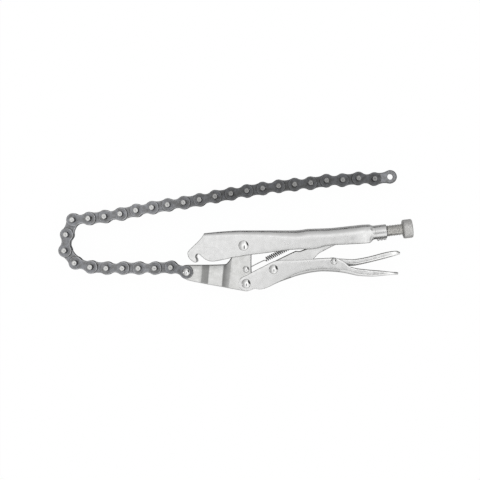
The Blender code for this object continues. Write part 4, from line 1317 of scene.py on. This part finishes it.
def add_plate(shape, waist, low, high, holes):
    """One stamped plate between two heights, with rounded rims and a hole at each spot."""
    rim = [(RIM_WIDTH * (1 - cos(radians(a))), RIM_DROP * (1 - sin(radians(a)))) for a in range(0, 91, 15)]
    rim.append((RIM_WIDTH + CUT_ROUND, 0))
    rings = [raised(plate_edge(waist, inward), low + drop) for inward, drop in reversed(rim)]
    rings += [raised(plate_edge(waist, inward), high - drop) for inward, drop in rim]
    # Painted shade on the plate's side and the steep part of its rim, and a painted highlight on the rest
    # of the rim.
    shade_and_highlight_bands = [SHADE_FINISH] * 2 + [HIGHLIGHT_FINISH] * 4 + [PLATE_FINISH]
    bottom, top = sweep(shape, rings, bands=[*reversed(shade_and_highlight_bands), SHADE_FINISH, *shade_and_highlight_bands])
    small = PIN_CHAMFER / 3
    mouth = ((2 * small, 0), (small, 0), (0, small))
    for centre, radius in holes:
        walls = [(wider, low + drop) for wider, drop in mouth]
        walls += [(wider, high - drop) for wider, drop in reversed(mouth)]
        ends = sweep(shape, [
            raised(arc((centre, 0), radius + wider, 0, 360, TURN_STEPS)[:-1], height)
            for wider, height in walls
        ])
        bottom, top = bottom + ends[0], top + ends[1]
    for edges, up in ((bottom, -1), (top, 1)):
        bmesh.ops.triangle_fill(shape, use_beauty=True, edges=edges, normal=(0, 0, up))


# %% Chain's pins and bosses
PIN_LINE = 0.00012
PIN_DIMPLE = 0.0008
DIMPLE_DEPTH = 0.0003
DIMPLE_RIM = 1.2
print("pin length in mm:", round(2 * MIDDLE * MM, 2))


def add_pin(shape, x):
    """A pin with chamfered, bright ends, a small centre mark in each, and a dark shank."""
    end, dimple = MIDDLE, MIDDLE - DIMPLE_DEPTH
    upper = [
        (0, dimple), (PIN_DIMPLE / 2, dimple), (PIN_DIMPLE, end - DIMPLE_DEPTH / 4),
        (PIN_DIMPLE * DIMPLE_RIM, end), (PIN_RADIUS - PIN_CHAMFER, end),
        (PIN_RADIUS - PIN_CHAMFER / 4, end - PIN_CHAMFER / 2), (PIN_RADIUS, end - PIN_CHAMFER),
    ]
    lower = [(radius, -height) for radius, height in reversed(upper)]
    add_turned(shape, upper, TURN_STEPS, (x, 0), PIN_FINISH)
    add_turned(shape, [upper[-1], lower[0]], TURN_STEPS, (x, 0), PLATE_FINISH)
    add_turned(shape, lower, TURN_STEPS, (x, 0), PIN_FINISH)


def add_boss(shape, x):
    """The raised ring round the hole that keeps an inner link's two plates apart."""
    bore, half = PIN_RADIUS + GAP, INNER_PLATE
    wall = [(BOSS_RADIUS, half), (BOSS_RADIUS, -half), (bore, -half), (bore, half), (BOSS_RADIUS, half)]
    # The boss is painted black as shade between the plates.
    add_turned(shape, wall, TURN_STEPS, (x, 0), SHADE_FINISH)


def link_shape(waist, low, holes, pins, bosses):
    """A whole link: its two plates, and its pins or its bosses."""
    shape = bmesh.new()
    for side in (1, -1):
        add_plate(shape, waist, *sorted((side * low, side * (low + PLATE_SHEET))), holes)
    for x in pins:
        add_pin(shape, x)
    for x in bosses:
        add_boss(shape, x)
    return shape


# %% Chain's links
pin_hole = PIN_RADIUS + PIN_LINE
loose_hole = PIN_RADIUS + GAP
both_ends = (0, PITCH)
link_kinds = {
    "first": (OUTER_WAIST, PIN_PLATE, ((0, loose_hole), (PITCH, pin_hole)), (PITCH,), ()),
    "outer": (OUTER_WAIST, PIN_PLATE, ((0, pin_hole), (PITCH, pin_hole)), both_ends, ()),
    "inner": (INNER_WAIST, INNER_PLATE, ((0, loose_hole), (PITCH, loose_hole)), (), both_ends),
}
link_meshes = {kind: to_mesh(link_shape(*made), kind, []) for kind, made in link_kinds.items()}
pins_at = [joint_spot(f"chain_pin_{k:02d}") for k in range(1, LINKS + 1)]
turns = [turn_of(after - spot) for spot, after in zip(pins_at, pins_at[1:])]
turns.append(turns[-1] + LAST_BEND)
for k, (spot, turn) in enumerate(zip(pins_at, turns), start=1):
    kind = "first" if k == 1 else ("inner", "outer")[k % 2]
    mesh = link_meshes[kind].copy()
    mesh.name = f"{kind}_link_{k:02d}" if k < LINKS else f"end_link_{k:02d}"
    mesh.transform(flat_frame(spot, turn))
    steel, slot = (CHAIN_STEEL, "chain_steel") if k < LINKS else (END_LINK_STEEL, "end_link_steel")
    for finish in (steel, PIN_STEEL, PAINTED_SHADE, HIGHLIGHT_RIM_STEEL):
        mesh.materials.append(finish)
    to_piece(mesh, f"link_{k:02d}", [f"chain_link_{k:02d}"], sharp=40)

# %% [markdown]
# ## Adjusting screw and knob
# The thread is a real helix: one ridge's profile is spun with a small rise at each step. Two
# cuts square to the axis end it. Its roots take the knob's darker, rougher finish as painted shade,
# and a ring of painted shade darkens it at the collar. The knob is a turned drum whose side is
# knurled by moving its points in and out in a fine diamond pattern.

# %% Screw's thread
THREAD_RADIUS = 0.00555
THREAD_DEPTH = 0.0007
THREAD_PITCH = 0.0016
THREAD_LENGTH = 0.0330
THREAD_SHOWN = 0.0160
TIP_CLEARANCE = 0.0030
SPIGOT_RADIUS = 0.0033
SPIGOT_LENGTH = 0.0070
THREAD_STEPS = 36
COLLAR_SHADE_SPAN = (-0.0002, 0.0006)
RIDGE_SHARES = (0, 0.12, 0.44, 0.60, 0.92)
tip_height = (TAIL - SCREW_SPOT).dot(SCREW_AXIS) + LINK_TAIL_RADIUS + TIP_CLEARANCE
root_radius = THREAD_RADIUS - THREAD_DEPTH
thread_low, thread_high = THREAD_SHOWN - THREAD_LENGTH, THREAD_SHOWN - GAP
thread_turns = int(THREAD_LENGTH / THREAD_PITCH) + 2

screw_shape = bmesh.new()
start_height = thread_low - THREAD_PITCH
ridge_radii = (root_radius, root_radius, THREAD_RADIUS, THREAD_RADIUS, root_radius)
ridge = [(radius, start_height + share * THREAD_PITCH) for radius, share in zip(ridge_radii, RIDGE_SHARES)]
ridge.append((root_radius, start_height + THREAD_PITCH))
bmesh.ops.spin(
    screw_shape, geom=draw_profile(screw_shape, ridge), cent=(0, 0, 0), axis=(0, 0, 1),
    steps=THREAD_STEPS * thread_turns, angle=2 * pi * thread_turns,
    dvec=(0, 0, THREAD_PITCH / THREAD_STEPS),
)
bmesh.ops.remove_doubles(screw_shape, verts=screw_shape.verts, dist=GAP / 100)
for height, way in ((thread_low, -1), (thread_high, 1)):
    cut_across(screw_shape, (0, 0, height), (0, 0, way), clear_outer=True)
print("turns cut:", thread_turns, "faces:", len(screw_shape.faces))

# %% Screw's ends and finishes
for height, end in ((thread_low, tip_height), (thread_high, THREAD_SHOWN + SPIGOT_LENGTH)):
    rim = [e for e in screw_shape.edges if e.is_boundary and abs(e.verts[0].co.z - height) < GAP / 10]
    face = bmesh.ops.contextual_create(screw_shape, geom=rim)["faces"]
    inner = root_radius if end < height else SPIGOT_RADIUS
    bmesh.ops.inset_region(screw_shape, faces=face, thickness=GAP, use_even_offset=True)
    for vert in extrude_faces(screw_shape, face):
        vert.co = (*(vert.co.xy.normalized() * inner), end)
    bmesh.ops.delete(screw_shape, geom=face, context="FACES_ONLY")
# Painted shade: a black ring at the collar, and the knob's darker finish on the roots between the ridges.
for face in screw_shape.faces:
    spot = face.calc_center_median()
    if COLLAR_SHADE_SPAN[0] < spot.z < COLLAR_SHADE_SPAN[1]:
        face.material_index = 1
    elif spot.xy.length < root_radius + GAP / 10 and thread_low < spot.z < thread_high:
        face.material_index = 2
screw_mesh = to_mesh(screw_shape, "cut_thread_screw", [SCREW_STEEL, PAINTED_SHADE, KNOB_STEEL], SCREW_FRAME)
to_piece(screw_mesh, "adjusting_screw", ["adjusting_screw"], sharp=40)

# %% Knob
KNOB_RADIUS = 0.00935
KNOB_LENGTH = 0.0098
KNOB_ROUND = 0.0016
KNURL_DEPTH = 0.00012
KNURLS = 44
KNURL_ROWS = 16
KNOB_STEPS = 176
low, high = THREAD_SHOWN, THREAD_SHOWN + KNOB_LENGTH
seat = low + SPIGOT_LENGTH + GAP
upper_round = arc((KNOB_RADIUS - KNOB_ROUND, high - KNOB_ROUND), KNOB_ROUND, 90, 0, 8)
lower_round = arc((KNOB_RADIUS - KNOB_ROUND, low + KNOB_ROUND), KNOB_ROUND, 0, -90, 8)
side_height = high - low - 2 * KNOB_ROUND
side_rows = [(KNOB_RADIUS, high - KNOB_ROUND - side_height * i / KNURL_ROWS) for i in range(1, KNURL_ROWS)]
bore = SPIGOT_RADIUS + GAP
profile = [(0, high), *upper_round, *side_rows, *lower_round, (bore, low), (bore, seat), (0, seat)]
knob_shape = bmesh.new()
add_turned(knob_shape, profile, KNOB_STEPS)
for vert in knob_shape.verts:
    radius = vert.co.xy.length
    if radius > KNOB_RADIUS - KNOB_ROUND / 3:
        turn = atan2(vert.co.y, vert.co.x) * KNURLS
        climb = (vert.co.z - low) / side_height * KNURL_ROWS * pi / 4
        relief = KNURL_DEPTH * (abs(sin((turn + climb) / 2)) + abs(sin((turn - climb) / 2)) - 1)
        vert.co.xy *= (radius - KNURL_DEPTH + relief) / radius
knob_mesh = to_mesh(knob_shape, "knurled_adjusting_knob", [KNOB_STEEL], SCREW_FRAME)
to_piece(knob_mesh, "adjusting_knob", ["adjusting_knob"], sharp=40)

# %% [markdown]
# ## Jaw spring
# The spring is one length of wire: a loop round the jaw's pin, a lead, the coil, and a hook in
# the handle's lug. It is drawn as a curve through computed points and made a mesh.

# %% Spring's path
WIRE = 0.00045
COIL = 0.0020
COIL_TURNS = 16
COIL_PITCH = 0.00198
HOOK_LENGTH = 0.0065
COIL_STEPS = 24
EYE_STEPS = 30
EYE_START, EYE_SWEEP = -60, 330
# The lead's points: along and aside in eye radii with their rise, and then in coil radii from its end.
EYE_LEAD = ((0.62, -0.85, 0.5), (1.05, -0.55, 0.4), (1.5, -0.18, 0.2), (2.0, 0.0, 0.0))
COIL_LEAD = ((2, 0.0), (1, -0.12), (0.5, -0.45))

lug = UPPER_FRAME @ Vector((*lug_spot, 0))
span = lug - spring_pin_spot
way = span.normalized()
across = Vector((-way.y, way.x, 0))
up = Vector((0, 0, 1))
lead = span.length - COIL_TURNS * COIL_PITCH - HOOK_LENGTH
eye = SPRING_RIVET_RADIUS + GAP + WIRE
climb = 2 * WIRE + 2 * GAP
beside = LUG_SHEET / 2 + WIRE + GAP


def wire_spot(along, aside, above):
    """A point measured from the spring pin: along the spring, aside of it and above it."""
    return spring_pin_spot + way * along + across * aside + up * above


wire_points = []
for i in range(EYE_STEPS + 1):
    turn = radians(EYE_START + EYE_SWEEP * i / EYE_STEPS)
    wire_points.append(wire_spot(eye * cos(turn), eye * sin(turn), climb * (i / EYE_STEPS - 0.5)))
wire_points += [wire_spot(out * eye, side * eye, climb * rise) for out, side, rise in EYE_LEAD]
wire_points += [wire_spot(lead - short * COIL, side * COIL, 0.0) for short, side in COIL_LEAD]
for i in range(COIL_TURNS * COIL_STEPS + 1):
    turn = 2 * pi * i / COIL_STEPS - pi / 2
    wire_points.append(wire_spot(lead + COIL_PITCH * i / COIL_STEPS, COIL * sin(turn), COIL * cos(turn)))
wire_points += [lug - way * (2 * COIL) + up * beside, lug - way * WIRE + up * beside,
                lug + up * (beside - WIRE), lug - up * (beside + WIRE)]
print("points on the wire:", len(wire_points))

# %% Spring
curve = bpy.data.curves.new("spring_path", "CURVE")
curve.dimensions = "3D"
curve.bevel_depth = WIRE
curve.bevel_resolution = 3
curve.use_fill_caps = True
spline = curve.splines.new("POLY")
spline.points.add(len(wire_points) - 1)
for point, spot in zip(spline.points, wire_points):
    point.co = (*spot, 1)
wire_item = add_object("spring_path", curve)
bpy.context.view_layer.update()
wire_shape = bmesh.new()
wire_shape.from_mesh(bpy.data.meshes.new_from_object(wire_item))
bpy.data.objects.remove(wire_item)
spring_mesh = to_mesh(wire_shape, "wound_jaw_spring", [SPRING_STEEL, PAINTED_SHADE])
# Painted shade: the coil's lower half takes the black finish.
for face in spring_mesh.polygons:
    along = (face.center - spring_pin_spot).dot(way)
    if lead - COIL < along < lead + COIL_TURNS * COIL_PITCH and face.center.z < MIDDLE:
        face.material_index = 1
spring = to_piece(spring_mesh, None, ["jaw_spring"], sharp=50)
tuple(spring_pin_spot)
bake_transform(spring)
